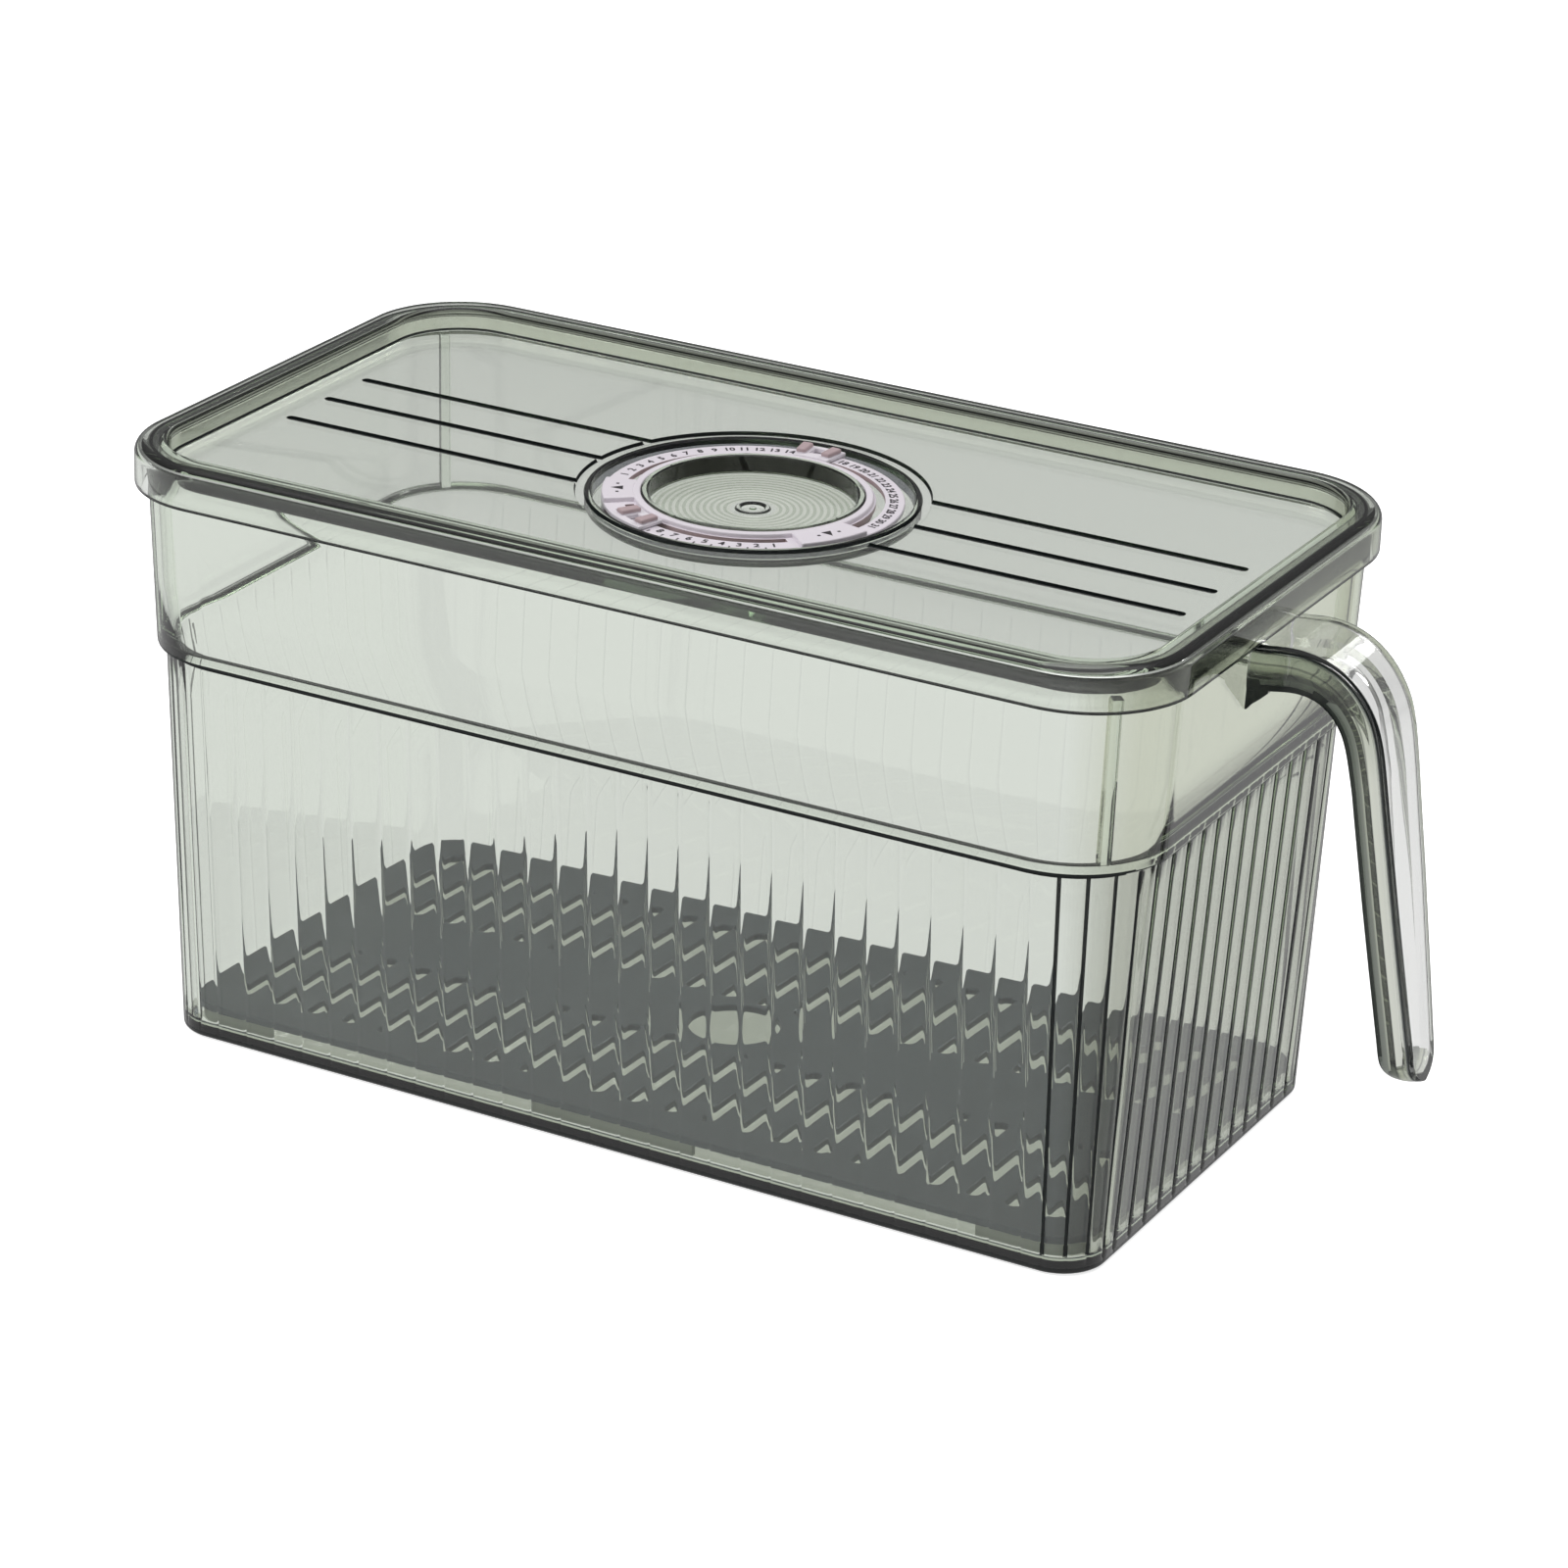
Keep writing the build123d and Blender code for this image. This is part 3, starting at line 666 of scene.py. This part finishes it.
    def pick(c, n):
        dx, dy = abs(c.x) - fa, abs(c.y) - fb
        d = LID_R - math.hypot(dx, dy) if dx > 0 and dy > 0 else min(LID_A - abs(c.x), LID_B - abs(c.y))
        outer = n.x * c.x / LID_A ** 2 + n.y * c.y / LID_B ** 2 > 0
        r = math.hypot(c.x, c.y)
        # painted shade: the finger cup's ring wall is tinted dark olive
        if 25.5 < r < 27.7 and c.z > 147.7 and abs(n.z) < 0.9:
            return (0.20, 0.21, 0.18)
        # painted shade in the ring groove and the straight grooves
        in_groove = 151.2 < c.z < 152.18 and abs(n.z) < 0.93
        if in_groove and (40.8 < r < 44.4 or (r > 42 and d > 12 and min(abs(abs(c.y) - g) for g in (0.0, 17.5)) < 1.7)):
            return (0.1, 0.1, 0.1, 0.85)
        # painted shade on every other ring of the cup floor's turned ridges
        if r < 25.3 and 147.3 < c.z < 147.7 and r > 5.6:
            return (0.60, 0.65, 0.55) if int((r - 5.6) / 0.84) % 2 else (1.0, 1.0, 0.95)
        # painted shadow: a dark ring on the well's wall beside the dial
        if 39.5 < r < 40.3 and c.z > 148.2 and abs(n.z) < 0.93:
            return (0.16, 0.16, 0.20, 0.35)
        # painted shade along the skirt's lower edge
        if d < 2.1 and c.z < 147.4:
            return (0.1, 0.1, 0.1, 0.85)
        # painted shade in the channel round the panel's edge
        if 8.3 < d < 9.3 and 152.0 < c.z < 152.7:
            return (0.1, 0.1, 0.1, 0.85)
        # painted shade on the rim's inner wall
        if 6.8 < d < 8.6 and c.z >= 152.7 and abs(n.z) < 0.8 and not outer:
            return (0.55, 0.57, 0.47)
        # painted shade on the skirt's outside towards the right end
        if d < 0.6 and c.z < 155.5 and outer and c.x > 0:
            return towards_end(n, (0.48, 0.50, 0.43))
        return (1.0, 1.0, 1.0)

    tone_faces(lid, pick)
    area_normals(lid)
    return lid


# ==================================================================================
# handle
# ==================================================================================
H_PATH = [(134.0, 146.4), (139.0, 146.5), (143.0, 146.7), (148.0, 147.25), (153.0, 147.1),
          (158.0, 145.9), (163.0, 143.3), (167.5, 139.1), (171.0, 133.6), (173.0, 127.8),
          (174.5, 120.0), (176.5, 107.0), (178.4, 95.0), (181.2, 77.0), (184.2, 58.0),
          (185.9, 47.0), (186.7, 41.2)]
H_WIDTH = [(0.0, 13.3), (14.0, 13.2), (21.0, 12.7), (30.0, 12.0), (38.0, 11.5), (50.0, 11.0), (62.0, 10.7), (88.0, 9.8), (106.0, 8.8), (125.0, 7.6), (134.0, 7.1)]


def catmull(pts, n):
    """n+1 evenly spaced points on a smooth curve through pts, with the curve's length so far."""
    dense = []
    P = [Vector(p) for p in pts]
    P = [P[0] * 2 - P[1]] + P + [P[-1] * 2 - P[-2]]
    for i in range(1, len(P) - 2):
        for k in range(40):
            t = k / 40
            p0, p1, p2, p3 = P[i - 1], P[i], P[i + 1], P[i + 2]
            dense.append(0.5 * ((2 * p1) + (p2 - p0) * t + (2 * p0 - 5 * p1 + 4 * p2 - p3) * t * t + (3 * p1 - p0 - 3 * p2 + p3) * t ** 3))
    dense.append(P[-2])
    for _ in range(60):                                   # light smoothing
        dense = [dense[0]] + [dense[i] * 0.5 + (dense[i - 1] + dense[i + 1]) * 0.25 for i in range(1, len(dense) - 1)] + [dense[-1]]
    acc = [0.0]
    for i in range(1, len(dense)):
        acc.append(acc[-1] + (dense[i] - dense[i - 1]).length)
    out = []
    j = 0
    for k in range(n + 1):
        s = acc[-1] * k / n
        while j < len(acc) - 2 and acc[j + 1] < s:
            j += 1
        t = (s - acc[j]) / max(1e-9, acc[j + 1] - acc[j])
        out.append((dense[j].lerp(dense[j + 1], t), s))
    return out, acc[-1]


def interp(table, s):
    if s <= table[0][0]:
        return table[0][1]
    for (s0, v0), (s1, v1) in zip(table, table[1:]):
        if s <= s1:
            t = (s - s0) / (s1 - s0)
            return lerp(v0, v1, t)
    return table[-1][1]


def handle_solid(shrink, n_top, n_bottom, name):
    """A bar along the handle's path: its top n_top below the outer face, its bottom n_bottom below it, its sides shrink inside."""
    N = 150
    pts, total = catmull(H_PATH, N)
    tip_r = 7.0
    end = total - shrink
    loops = []
    S = [total * k / N for k in range(N + 1) if total * k / N < end - (tip_r - shrink)]
    m = 22
    S += [end - (tip_r - shrink) + (tip_r - shrink) * math.sin(math.radians(90 * k / m)) for k in range(m)] + [end - 0.004]

    def at(s):
        i = min(N - 1, int(s / total * N))
        t = s / total * N - i
        p = pts[i][0].lerp(pts[i + 1][0], t)
        d0 = (pts[max(i - 1, 0)][0] - pts[min(i + 1, N)][0]) * -1
        d1 = (pts[i][0] - pts[min(i + 2, N)][0]) * -1
        d = d0.normalized().lerp(d1.normalized(), t).normalized()
        return p, d

    for s in S:
        p, d = at(s)
        inward = Vector((d.y, -d.x))                      # to the right of the path: down and back to the bin
        w = interp(H_WIDTH, s) - shrink
        into = s - (end - (tip_r - shrink))
        if into > 0:
            q = min(1.0, into / (tip_r - shrink))
            w0 = interp(H_WIDTH, end - (tip_r - shrink)) - shrink
            w = w0 * math.sqrt(max(0.0, 1 - q * q))
        w = max(w, 0.02)
        top = n_top(s / total) if callable(n_top) else n_top
        bot = n_bottom(s / total) if callable(n_bottom) else n_bottom
        if shrink == 0:                                   # the flange runs out round the tip
            q = min(1.0, max(0.0, (s - (total - 8.5)) / 8.5))
            bot = lerp(3.0, bot, math.sqrt(max(0.0, 1 - q * q)))
        rc = min(1.6 if shrink == 0 else 0.8, w * 0.6)
        sec = []
        for k in range(7):
            t = math.radians(180 - 90 * k / 6)
            sec.append((-w + rc + rc * math.cos(t), top + rc - rc * math.sin(t)))
        for k in range(1, 8):
            sec.append((lerp(-w + rc, w - rc, k / 8), top))
        for k in range(7):
            t = math.radians(90 - 90 * k / 6)
            sec.append((w - rc + rc * math.cos(t), top + rc - rc * math.sin(t)))
        re = 0.5 if shrink == 0 else 0.0
        re = min(re, w * 0.4)
        if re:
            low = 0.45 * min(1.0, w / 4)
            bulge = [(w + low * math.sin(math.pi * q / 7), lerp(top + rc, bot - re, q / 7)) for q in range(1, 7)]
            sec += bulge + [(w, bot - re), (w - re * 0.3, bot - re * 0.3), (w - re, bot)]
            sec += [(-w + re, bot), (-w + re * 0.3, bot - re * 0.3), (-w, bot - re)] + [(-y, n) for y, n in reversed(bulge)]
        else:
            d = bot - 5                                   # the outer bar's depth
            wb = max(w - 1.1, 0.01)
            side = [(w, lerp(top + rc, d - 4.2, q / 3)) for q in range(1, 4)] + [(lerp(w, wb, q / 4), d - 4.2 + 0.4 * q) for q in range(1, 5)]
            sec += side + [(wb, bot - 0.5), (wb, bot), (-wb, bot), (-wb, bot - 0.5)] + [(-y, n) for y, n in reversed(side)]
        loops.append([(p.x + inward.x * n, y, p.y + inward.y * n) for y, n in sec])
    v, f = stack_loops(loops)
    o = add_mesh(name, v, f, [M_HANDLE])
    outward(o)
    return o


def build_handle():
    def depth(t):
        return lerp(11.4, 8.9, min(1.0, t / 0.45))

    outer = handle_solid(0.0, 0.0, depth, "handle_grip")
    inner = handle_solid(2.0, 2.0, lambda t: depth(t) + 5, "t")
    boolean(outer, inner, "DIFFERENCE")
    # small webs under the flanges, on the bin's wall
    for s in (1, -1):
        y0, y1 = s * 11.3, s * 13.1
        prof = [(136.5, 136.6), (144.8, 136.6), (144.8, 135.3), (143.0, 133.6), (140.6, 131.6), (139.6, 130.3), (136.5, 130.3)]
        rows = [[(x, y, z) for x, z in prof] for y in (y0, y1)]
        v, f = stack_loops(rows)
        o = add_mesh("t", v, f)
        outward(o)
        boolean(outer, o, "UNION")
    # trimmed to the bin's end wall
    loops = []
    for z in (100.0, STEP_Z + 0.01, RIM_Z, 170.0):
        sp = band_at(z)
        loops.append([(x, y, z) for x, y in rounded_rect(sp[0] + 0.02, sp[1], sp[2])])
    v, f = stack_loops(loops)
    o = add_mesh("t", v, f)
    outward(o)
    boolean(outer, o, "DIFFERENCE")
    tidy(outer, sharp=28)
    # distance inward from the bar's outer face, for the rail's painted shade and highlight bands
    line = [p for p, _ in catmull(H_PATH, 400)[0]]
    att = outer.data.attributes.new("inset", "FLOAT", "POINT")
    vals = []
    for vert in outer.data.vertices:
        x, z = vert.co.x / MM, vert.co.z / MM
        vals.append(min((x - q.x) ** 2 + (z - q.y) ** 2 for q in line) ** 0.5)
    att.data.foreach_set("value", vals)
    outer.data.materials.clear()
    outer.data.materials.append(M_HANDLE)
    # faces that take the painted shade and highlight stripes: the near flange's outer face, and the underside at the
    # tip
    rail = outer.data.attributes.new("rail", "FLOAT", "FACE")
    mask = []
    for p in outer.data.polygons:
        n = p.normal
        c = p.center / MM
        inset = sum(vals[i] for i in p.vertices) / len(p.vertices)
        mask.append(1.0 if (n.y < -0.55 and c.y < -1.0 and inset > 0.9 and c.x > 139.3) or (c.z < 46 and inset > 1.0 and n.z < -0.3) else 0.0)
    rail.data.foreach_set("value", mask)
    painted_darks = []
    for p in outer.data.polygons:
        n, c = p.normal, p.center / MM
        inset = sum(vals[i] for i in p.vertices) / len(p.vertices)
        near = c.y < -1.0 and n.y < -0.3 and c.x > 139.3
        # painted shade in the corner between plate and near flange
        if near and inset < 1.35:                         # the corner between plate and near flange
            painted_darks.append(0.8)
        # painted shade along the near flange's free edge
        elif c.y < -1.0 and n.y < -0.1 and inset > 7.9 and c.z < 138:
            painted_darks.append(0.7)
        # painted shade on the far side, along the corner of the plate
        elif c.y > 1.0 and 0.1 < inset < 0.9 and n.y > 0.3 and c.x > 148:
            painted_darks.append(0.6)
        else:
            painted_darks.append(0.0)
    outer.data.attributes.new("painted_dark", "FLOAT", "FACE").data.foreach_set("value", painted_darks)
    area_normals(outer)
    return outer


# ==================================================================================
# drain tray
# ==================================================================================
TRAY_A, TRAY_B, TRAY_R, TRAY_TOP, TRAY_T = 127.2, 62.5, 10.6, 8.4, 2.0
SLOT_N, SLOT_P, SLOT_W, SLOT_Y0, SLOT_Y1 = 23, 10.47, 3.4, 13.6, 52.2


def prism_mesh(name, outline, z0, z1, mats, round_=0.0, segs=2):
    """A straight prism on an outline, its edges rounded."""
    n = len(outline)
    verts = [(x, y, z0) for x, y in outline] + [(x, y, z1) for x, y in outline]
    faces = [tuple(reversed(range(n))), tuple(range(n, 2 * n))] + [(i, (i + 1) % n, n + (i + 1) % n, n + i) for i in range(n)]
    obj = add_mesh(name, verts, faces, mats)
    outward(obj)
    if round_:
        bm = bmesh.new()
        bm.from_mesh(obj.data)
        edges = [e for e in bm.edges if len(e.link_faces) == 2 and e.calc_face_angle(0) > math.radians(40)]
        bmesh.ops.bevel(bm, geom=edges, offset=round_ * MM, offset_type="OFFSET", segments=segs, profile=0.5, affect="EDGES", clamp_overlap=True)
        bm.to_mesh(obj.data)
        bm.free()
    shade(obj, True, 30)
    return obj


def build_tray():
    cu = bpy.data.curves.new("tray", "CURVE")
    cu.dimensions = "2D"
    cu.fill_mode = "BOTH"
    cu.extrude = (TRAY_T / 2 - 0.45) * MM
    cu.bevel_depth = 0.45 * MM
    cu.bevel_resolution = 2

    def loop(pts):
        sp = cu.splines.new("POLY")
        sp.points.add(len(pts) - 1)
        for p, (x, y) in zip(sp.points, pts):
            p.co = (x * MM, y * MM, 0, 1)
        sp.use_cyclic_u = True

    loop(rounded_rect(TRAY_A - 0.45, TRAY_B - 0.45, TRAY_R - 0.45, n_arc=16, n_x=1, n_y=1))
    for i in range(SLOT_N):
        x = (i - (SLOT_N - 1) / 2) * SLOT_P
        for sg in (1, -1):
            y0, y1 = sorted((sg * (SLOT_Y0 + SLOT_W / 2), sg * (SLOT_Y1 - SLOT_W / 2)))
            r = SLOT_W / 2 + 0.45
            pts = [(x + r * math.cos(math.radians(t)), y1 + r * math.sin(math.radians(t))) for t in range(0, 181, 18)]
            pts += [(x + r * math.cos(math.radians(t)), y0 + r * math.sin(math.radians(t))) for t in range(180, 361, 18)]
            loop(pts)
    loop([(12.25 * math.cos(2 * math.pi * k / 56), 12.25 * math.sin(2 * math.pi * k / 56)) for k in range(56)])
    o = link(bpy.data.objects.new("tray_curve", cu))
    dg = bpy.context.evaluated_depsgraph_get()
    me = bpy.data.meshes.new_from_object(o.evaluated_get(dg))
    bpy.data.objects.remove(o)
    me.transform(Matrix.Translation((0, 0, (TRAY_TOP - TRAY_T / 2) * MM)))
    tray = link(bpy.data.objects.new("slotted_tray", me))
    tidy(tray, sharp=35)
    # feet under the rim: one round each corner, one in the middle of each long side
    i0, i1 = 1.2, 3.0
    feet = []
    for sx in (1, -1):
        for sy in (1, -1):
            outline = []
            for d, back in ((i0, False), (i1, True)):
                a, b, r = TRAY_A - d, TRAY_B - d, TRAY_R - d
                run = [(100.0, b)] + [(a - r + r * math.cos(math.radians(t)), b - r + r * math.sin(math.radians(t))) for t in range(90, -1, -9)] + [(a, 36.0)]
                outline += reversed(run) if back else run
            feet.append([(sx * x, sy * y) for x, y in outline])
    for sy in (1, -1):
        feet.append([(-22.5, sy * (TRAY_B - i0)), (22.5, sy * (TRAY_B - i0)), (22.5, sy * (TRAY_B - i1)), (-22.5, sy * (TRAY_B - i1))])
    for outline in feet:
        foot = prism_mesh("t", outline, 2.53, 6.7, [M_TRAY], round_=0.35)
        boolean(tray, foot, "UNION")
    tidy(tray, sharp=35)
    tray.data.materials.clear()
    for mt in (M_TRAY, M_FEET):
        tray.data.materials.append(mt)
    # painted light: faces below 6.3 mm, the feet, take the paler tint
    for p in tray.data.polygons:
        p.material_index = 1 if p.center.z / MM < 6.3 else 0
    area_normals(tray)
    return tray


# ==================================================================================
# dial
# ==================================================================================
def sector_outline(r0, r1, a0, a1):
    n = max(2, int(abs(a1 - a0) / 2.5) + 1)
    at = [math.radians(lerp(a0, a1, k / n)) for k in range(n + 1)]
    return [(r1 * math.cos(t), r1 * math.sin(t)) for t in at] + [(r0 * math.cos(t), r0 * math.sin(t)) for t in reversed(at)]


def ring_mesh(profile, mats):
    v, f = stack_loops(revolve(profile), closed=True)
    o = add_mesh("t", v, f, mats)
    outward(o)
    return o


def build_dial():
    mats = [M_DIAL, M_DIAL_SHADE]
    dial = ring_mesh([(28.6, 149.6), (37.0, 149.6), (37.2, 149.75), (37.2, 150.62), (37.02, 150.8), (28.6, 150.8)], mats)
    for a0, a1 in ((-9.5, 192.5), (224.0, 314.0)):
        cut = prism_mesh("t", sector_outline(30.1, 32.4, a0, a1), 149.0, 151.5, mats, round_=0.0)
        boolean(dial, cut, "DIFFERENCE")
    rim = ring_mesh([(27.52, 147.64), (29.3, 147.64), (29.5, 147.8), (29.6, 151.3)] + [(29.1 + 0.5 * math.cos(math.radians(t)), 151.5 + 0.5 * math.sin(math.radians(t))) for t in (20, 45, 70, 90)]
                    + [(28.02 - 0.5 * math.sin(math.radians(t)), 151.5 + 0.5 * math.cos(math.radians(t))) for t in (0, 25, 50, 75)] + [(27.52, 151.3)], mats)
    boolean(dial, rim, "UNION")
    base = ring_mesh([(28.0, 147.64), (36.4, 147.64), (36.6, 147.75), (36.6, 148.0), (36.5, 148.12), (28.0, 148.12)], mats)
    boolean(dial, base, "UNION")
    for a0, a1 in ((196.0, 220.5), (317.5, 347.0)):
        block = prism_mesh("t", sector_outline(29.2, 37.16, a0, a1), 147.9, 152.0, mats, round_=0.4, segs=3)
        boolean(dial, block, "UNION")
    tidy(dial, sharp=30)
    dial.data.materials.clear()
    for mt in mats:
        dial.data.materials.append(mt)
    for p in dial.data.polygons:
        c, n = p.center / MM, p.normal
        r = math.hypot(c.x, c.y)
        # painted shade on the lower faces and the slots' walls
        p.material_index = 1 if c.z < 149.0 or (29.9 < r < 32.6 and c.z < 150.75 and abs(n.z) < 0.5) else 0
    dial.name = "date_dial"
    area_normals(dial)
    return dial


def build_slider(name, mid):
    mats = [M_SLIDER, M_DIAL_SHADE]
    top = 150.8
    o = prism_mesh(name, sector_outline(30.4, 38.45, mid - 9, mid + 9), top + 0.15, top + 1.15, mats, round_=0.28, segs=3)
    win = prism_mesh("t", sector_outline(33.0, 36.6, mid - 3.0, mid + 3.0), top - 1, top + 3, mats)
    boolean(o, win, "DIFFERENCE")
    for k in (-1, 1):
        bump = prism_mesh("t", sector_outline(31.6, 37.2, mid + k * 6.2 - 2.3, mid + k * 6.2 + 2.3), top + 0.9, top + 2.4, mats, round_=0.55, segs=4)
        boolean(o, bump, "UNION")
    for r0, r1, w, z0, z1 in ((30.45, 32.1, 4.0, 148.3, 151.2), (30.45, 33.6, 4.0, 148.3, 149.3), (37.5, 38.44, 8.8, 149.2, 151.2)):
        leg = prism_mesh("t", sector_outline(r0, r1, mid - w, mid + w), z0, z1, mats, round_=0.12)
        boolean(o, leg, "UNION")
    tidy(o, sharp=32)
    o.data.materials.clear()
    for mt in mats:
        o.data.materials.append(mt)
    for p in o.data.polygons:
        # painted shade: the bumps' upper parts take the darker mauve
        p.material_index = 1 if p.center.z / MM > top + 1.35 else 0
    area_normals(o)
    return o


def glyph(body, size, r, ang, z, flip, out):
    """Adds a number's raised shape at a place on the dial."""
    cu = bpy.data.curves.new("g", "FONT")
    cu.body = body
    cu.size = size * MM
    cu.align_x = "CENTER"
    cu.align_y = "CENTER"
    cu.extrude = 0.03 * MM
    cu.offset = 0.07 * MM
    cu.resolution_u = 4
    o = link(bpy.data.objects.new("g", cu))
    dg = bpy.context.evaluated_depsgraph_get()
    me = bpy.data.meshes.new_from_object(o.evaluated_get(dg))
    bpy.data.objects.remove(o)
    bpy.data.curves.remove(cu)
    a = math.radians(ang)
    turn = a - math.pi / 2 + (math.pi if flip else 0)
    me.transform(Matrix.Translation((r * math.cos(a) * MM, r * math.sin(a) * MM, z * MM)) @ Matrix.Rotation(turn, 4, "Z"))
    base = len(out[0])
    out[0] += [tuple(v.co / MM) for v in me.vertices]
    out[1] += [tuple(base + i for i in p.vertices) for p in me.polygons]
    bpy.data.meshes.remove(me)


def mark(r, ang, z, w, l, out, pointed=False):
    """A short raised stroke or triangle along a radius."""
    a = math.radians(ang)
    ux, uy = math.cos(a), math.sin(a)
    px, py = -uy, ux
    pts = [(-w / 2, -l / 2), (w / 2, -l / 2), (0.0, l / 2)] if pointed else [(-w / 2, -l / 2), (w / 2, -l / 2), (w / 2, l / 2), (-w / 2, l / 2)]
    base, n = len(out[0]), len(pts)
    for dz in (-0.03, 0.03):
        for t, u in pts:
            out[0].append((ux * (r + u) + px * t, uy * (r + u) + py * t, z + dz))
    out[1].append(tuple(base + i for i in range(n)))
    out[1].append(tuple(base + n + i for i in reversed(range(n))))
    for i in range(n):
        j = (i + 1) % n
        out[1].append((base + j, base + i, base + n + i, base + n + j))


def build_marks():
    out = [[], []]
    zs = 150.82
    for d in range(1, 32):
        ang = 186 - 6.32 * (d - 1)
        glyph(str(d), 2.9, 34.4, ang, zs, False, out)
    for m_ in range(1, 13):
        ang = -52.5 - 7.0 * (m_ - 1)
        glyph(str(m_), 3.1, 34.4, ang, zs, True, out)
        if m_ < 12:
            mark(36.2, ang - 3.5, zs, 0.4, 1.1, out)
    for mid in (208.25, 332.25):
        mark(33.4, mid, 152.01, 2.6, 3.0, out, pointed=True)
        for k in (-1, 1):
            mark(33.4, mid + k * 5.0, 152.01, 0.75, 0.75, out)
    o = add_mesh("dial_numbers", out[0], out[1], [M_INK], smooth=False)
    outward(o)
    return o


bin_shell = build_bin()
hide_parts("bin_body")
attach(bin_shell, "bin")

lid_shell = build_lid()
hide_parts("lid")
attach(lid_shell, "lid")

handle_grip = build_handle()
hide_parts("handle")
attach(handle_grip, "bin")

tray = build_tray()
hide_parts("drain_tray")
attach(tray, "tray")

dial = build_dial()
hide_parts("dial_plate")
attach(dial, "lid")

marks = build_marks()
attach(marks, "lid")

for name, node, body, mid in (("day_marker", "day_slider", "day_slider", 91.2), ("month_marker", "month_slider", "month_slider", 244.5)):
    o = build_slider(name, mid)
    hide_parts(node)
    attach(o, body)

# ==================================================================================
# floor, light, camera
# ==================================================================================
# The floor is seen white. What the clear plastic passes on and mirrors is a pale grey table that darkens away from the object.
floor_me = bpy.data.meshes.new("floor")
floor_me.from_pydata([(-6, -6, -0.0003), (6, -6, -0.0003), (6, 6, -0.0003), (-6, 6, -0.0003)], [], [(0, 1, 2, 3)])
floor = link(bpy.data.objects.new("floor", floor_me))
m, nt, bsdf, out = new_mat("floor_pale")
bsdf.inputs["Base Color"].default_value = (0.80, 0.80, 0.80, 1)
bsdf.inputs["Roughness"].default_value = 0.9
bsdf.inputs["Specular IOR Level"].default_value = 0.0
bsdf.inputs["Emission Color"].default_value = (1, 1, 1, 1)
bsdf.inputs["Emission Strength"].default_value = 0.72
tc = nt.nodes.new("ShaderNodeTexCoord")
ln = nt.nodes.new("ShaderNodeVectorMath")
ln.operation = "LENGTH"
nt.links.new(tc.outputs["Object"], ln.inputs[0])
far = nt.nodes.new("ShaderNodeMapRange")
far.inputs["From Min"].default_value = 0.45
far.inputs["From Max"].default_value = 1.8
far.inputs["To Min"].default_value = 0.80
far.inputs["To Max"].default_value = 0.30
nt.links.new(ln.outputs["Value"], far.inputs["Value"])
glow = nt.nodes.new("ShaderNodeEmission")
nt.links.new(far.outputs["Result"], glow.inputs["Strength"])
path = nt.nodes.new("ShaderNodeLightPath")
mix = nt.nodes.new("ShaderNodeMixShader")
nt.links.new(path.outputs["Is Camera Ray"], mix.inputs[0])
nt.links.new(glow.outputs[0], mix.inputs[1])
nt.links.new(bsdf.outputs[0], mix.inputs[2])
nt.links.new(mix.outputs[0], out.inputs["Surface"])
floor_me.materials.append(m)

world = bpy.data.worlds.new("studio")
bpy.context.scene.world = world
world.use_nodes = True
wn = world.node_tree
for n in list(wn.nodes):
    wn.nodes.remove(n)
wout = wn.nodes.new("ShaderNodeOutputWorld")
tc = wn.nodes.new("ShaderNodeTexCoord")
sep = wn.nodes.new("ShaderNodeSeparateXYZ")
wn.links.new(tc.outputs["Generated"], sep.inputs[0])
sky = tone_ramp(wn, sep.outputs["Z"], [(0.0, (0.42,) * 3), (0.12, (0.20,) * 3), (0.35, (0.25,) * 3), (0.62, (0.35,) * 3), (0.80, (0.55,) * 3), (0.90, (1.4,) * 3), (1.0, (1.6,) * 3)])
bg = wn.nodes.new("ShaderNodeBackground")
wn.links.new(sky, bg.inputs["Color"])
seen = wn.nodes.new("ShaderNodeBackground")
seen.inputs["Color"].default_value = (1, 1, 1, 1)
path = wn.nodes.new("ShaderNodeLightPath")
mix = wn.nodes.new("ShaderNodeMixShader")
wn.links.new(path.outputs["Is Camera Ray"], mix.inputs[0])
wn.links.new(bg.outputs[0], mix.inputs[1])
wn.links.new(seen.outputs[0], mix.inputs[2])
wn.links.new(mix.outputs[0], wout.inputs["Surface"])


def softbox(name, at, size, power):
    la = bpy.data.lights.new(name, "AREA")
    la.shape = "RECTANGLE"
    la.size, la.size_y = size
    la.energy = power
    o = link(bpy.data.objects.new(name, la))
    o.location = at
    o.rotation_euler = (Vector((0, 0, 0.05)) - Vector(at)).to_track_quat("-Z", "Y").to_euler()
    o.visible_glossy = False


softbox("key", (-0.9, -0.7, 1.0), (0.7, 0.5), 8.0)
softbox("back", (0.5, 1.1, 0.9), (0.9, 0.3), 5.0)

sc = bpy.context.scene
sc.view_settings.view_transform = "Standard"
sc.cycles.max_bounces = 24
sc.cycles.transmission_bounces = 24
sc.cycles.glossy_bounces = 8
sc.cycles.diffuse_bounces = 3

cam_data = bpy.data.cameras.new("camera")
cam = link(bpy.data.objects.new("camera", cam_data))
cam_data.sensor_width = 36.0
cam_data.lens = 5682.6 / 1600 * 36.0
cam_data.shift_x = 0.0256
cam_data.shift_y = 0.0184
cam_data.clip_start = 0.05
cam_data.clip_end = 50


def aim(az, el, roll):
    a, e, r = (math.radians(v) for v in (az, el, roll))
    back = Vector((math.sin(a) * math.cos(e), -math.cos(a) * math.cos(e), math.sin(e)))
    right = Vector((0, 0, 1)).cross(back).normalized()
    up = back.cross(right)
    r0 = right * math.cos(r) + up * math.sin(r)
    u0 = -right * math.sin(r) + up * math.cos(r)
    return Matrix((r0, u0, back)).transposed()


cam.matrix_world = Matrix.Translation(Vector((0.61328, -1.12612, 0.61680))) @ aim(28.568, 23.226, 1.767).to_4x4()
sc.camera = cam
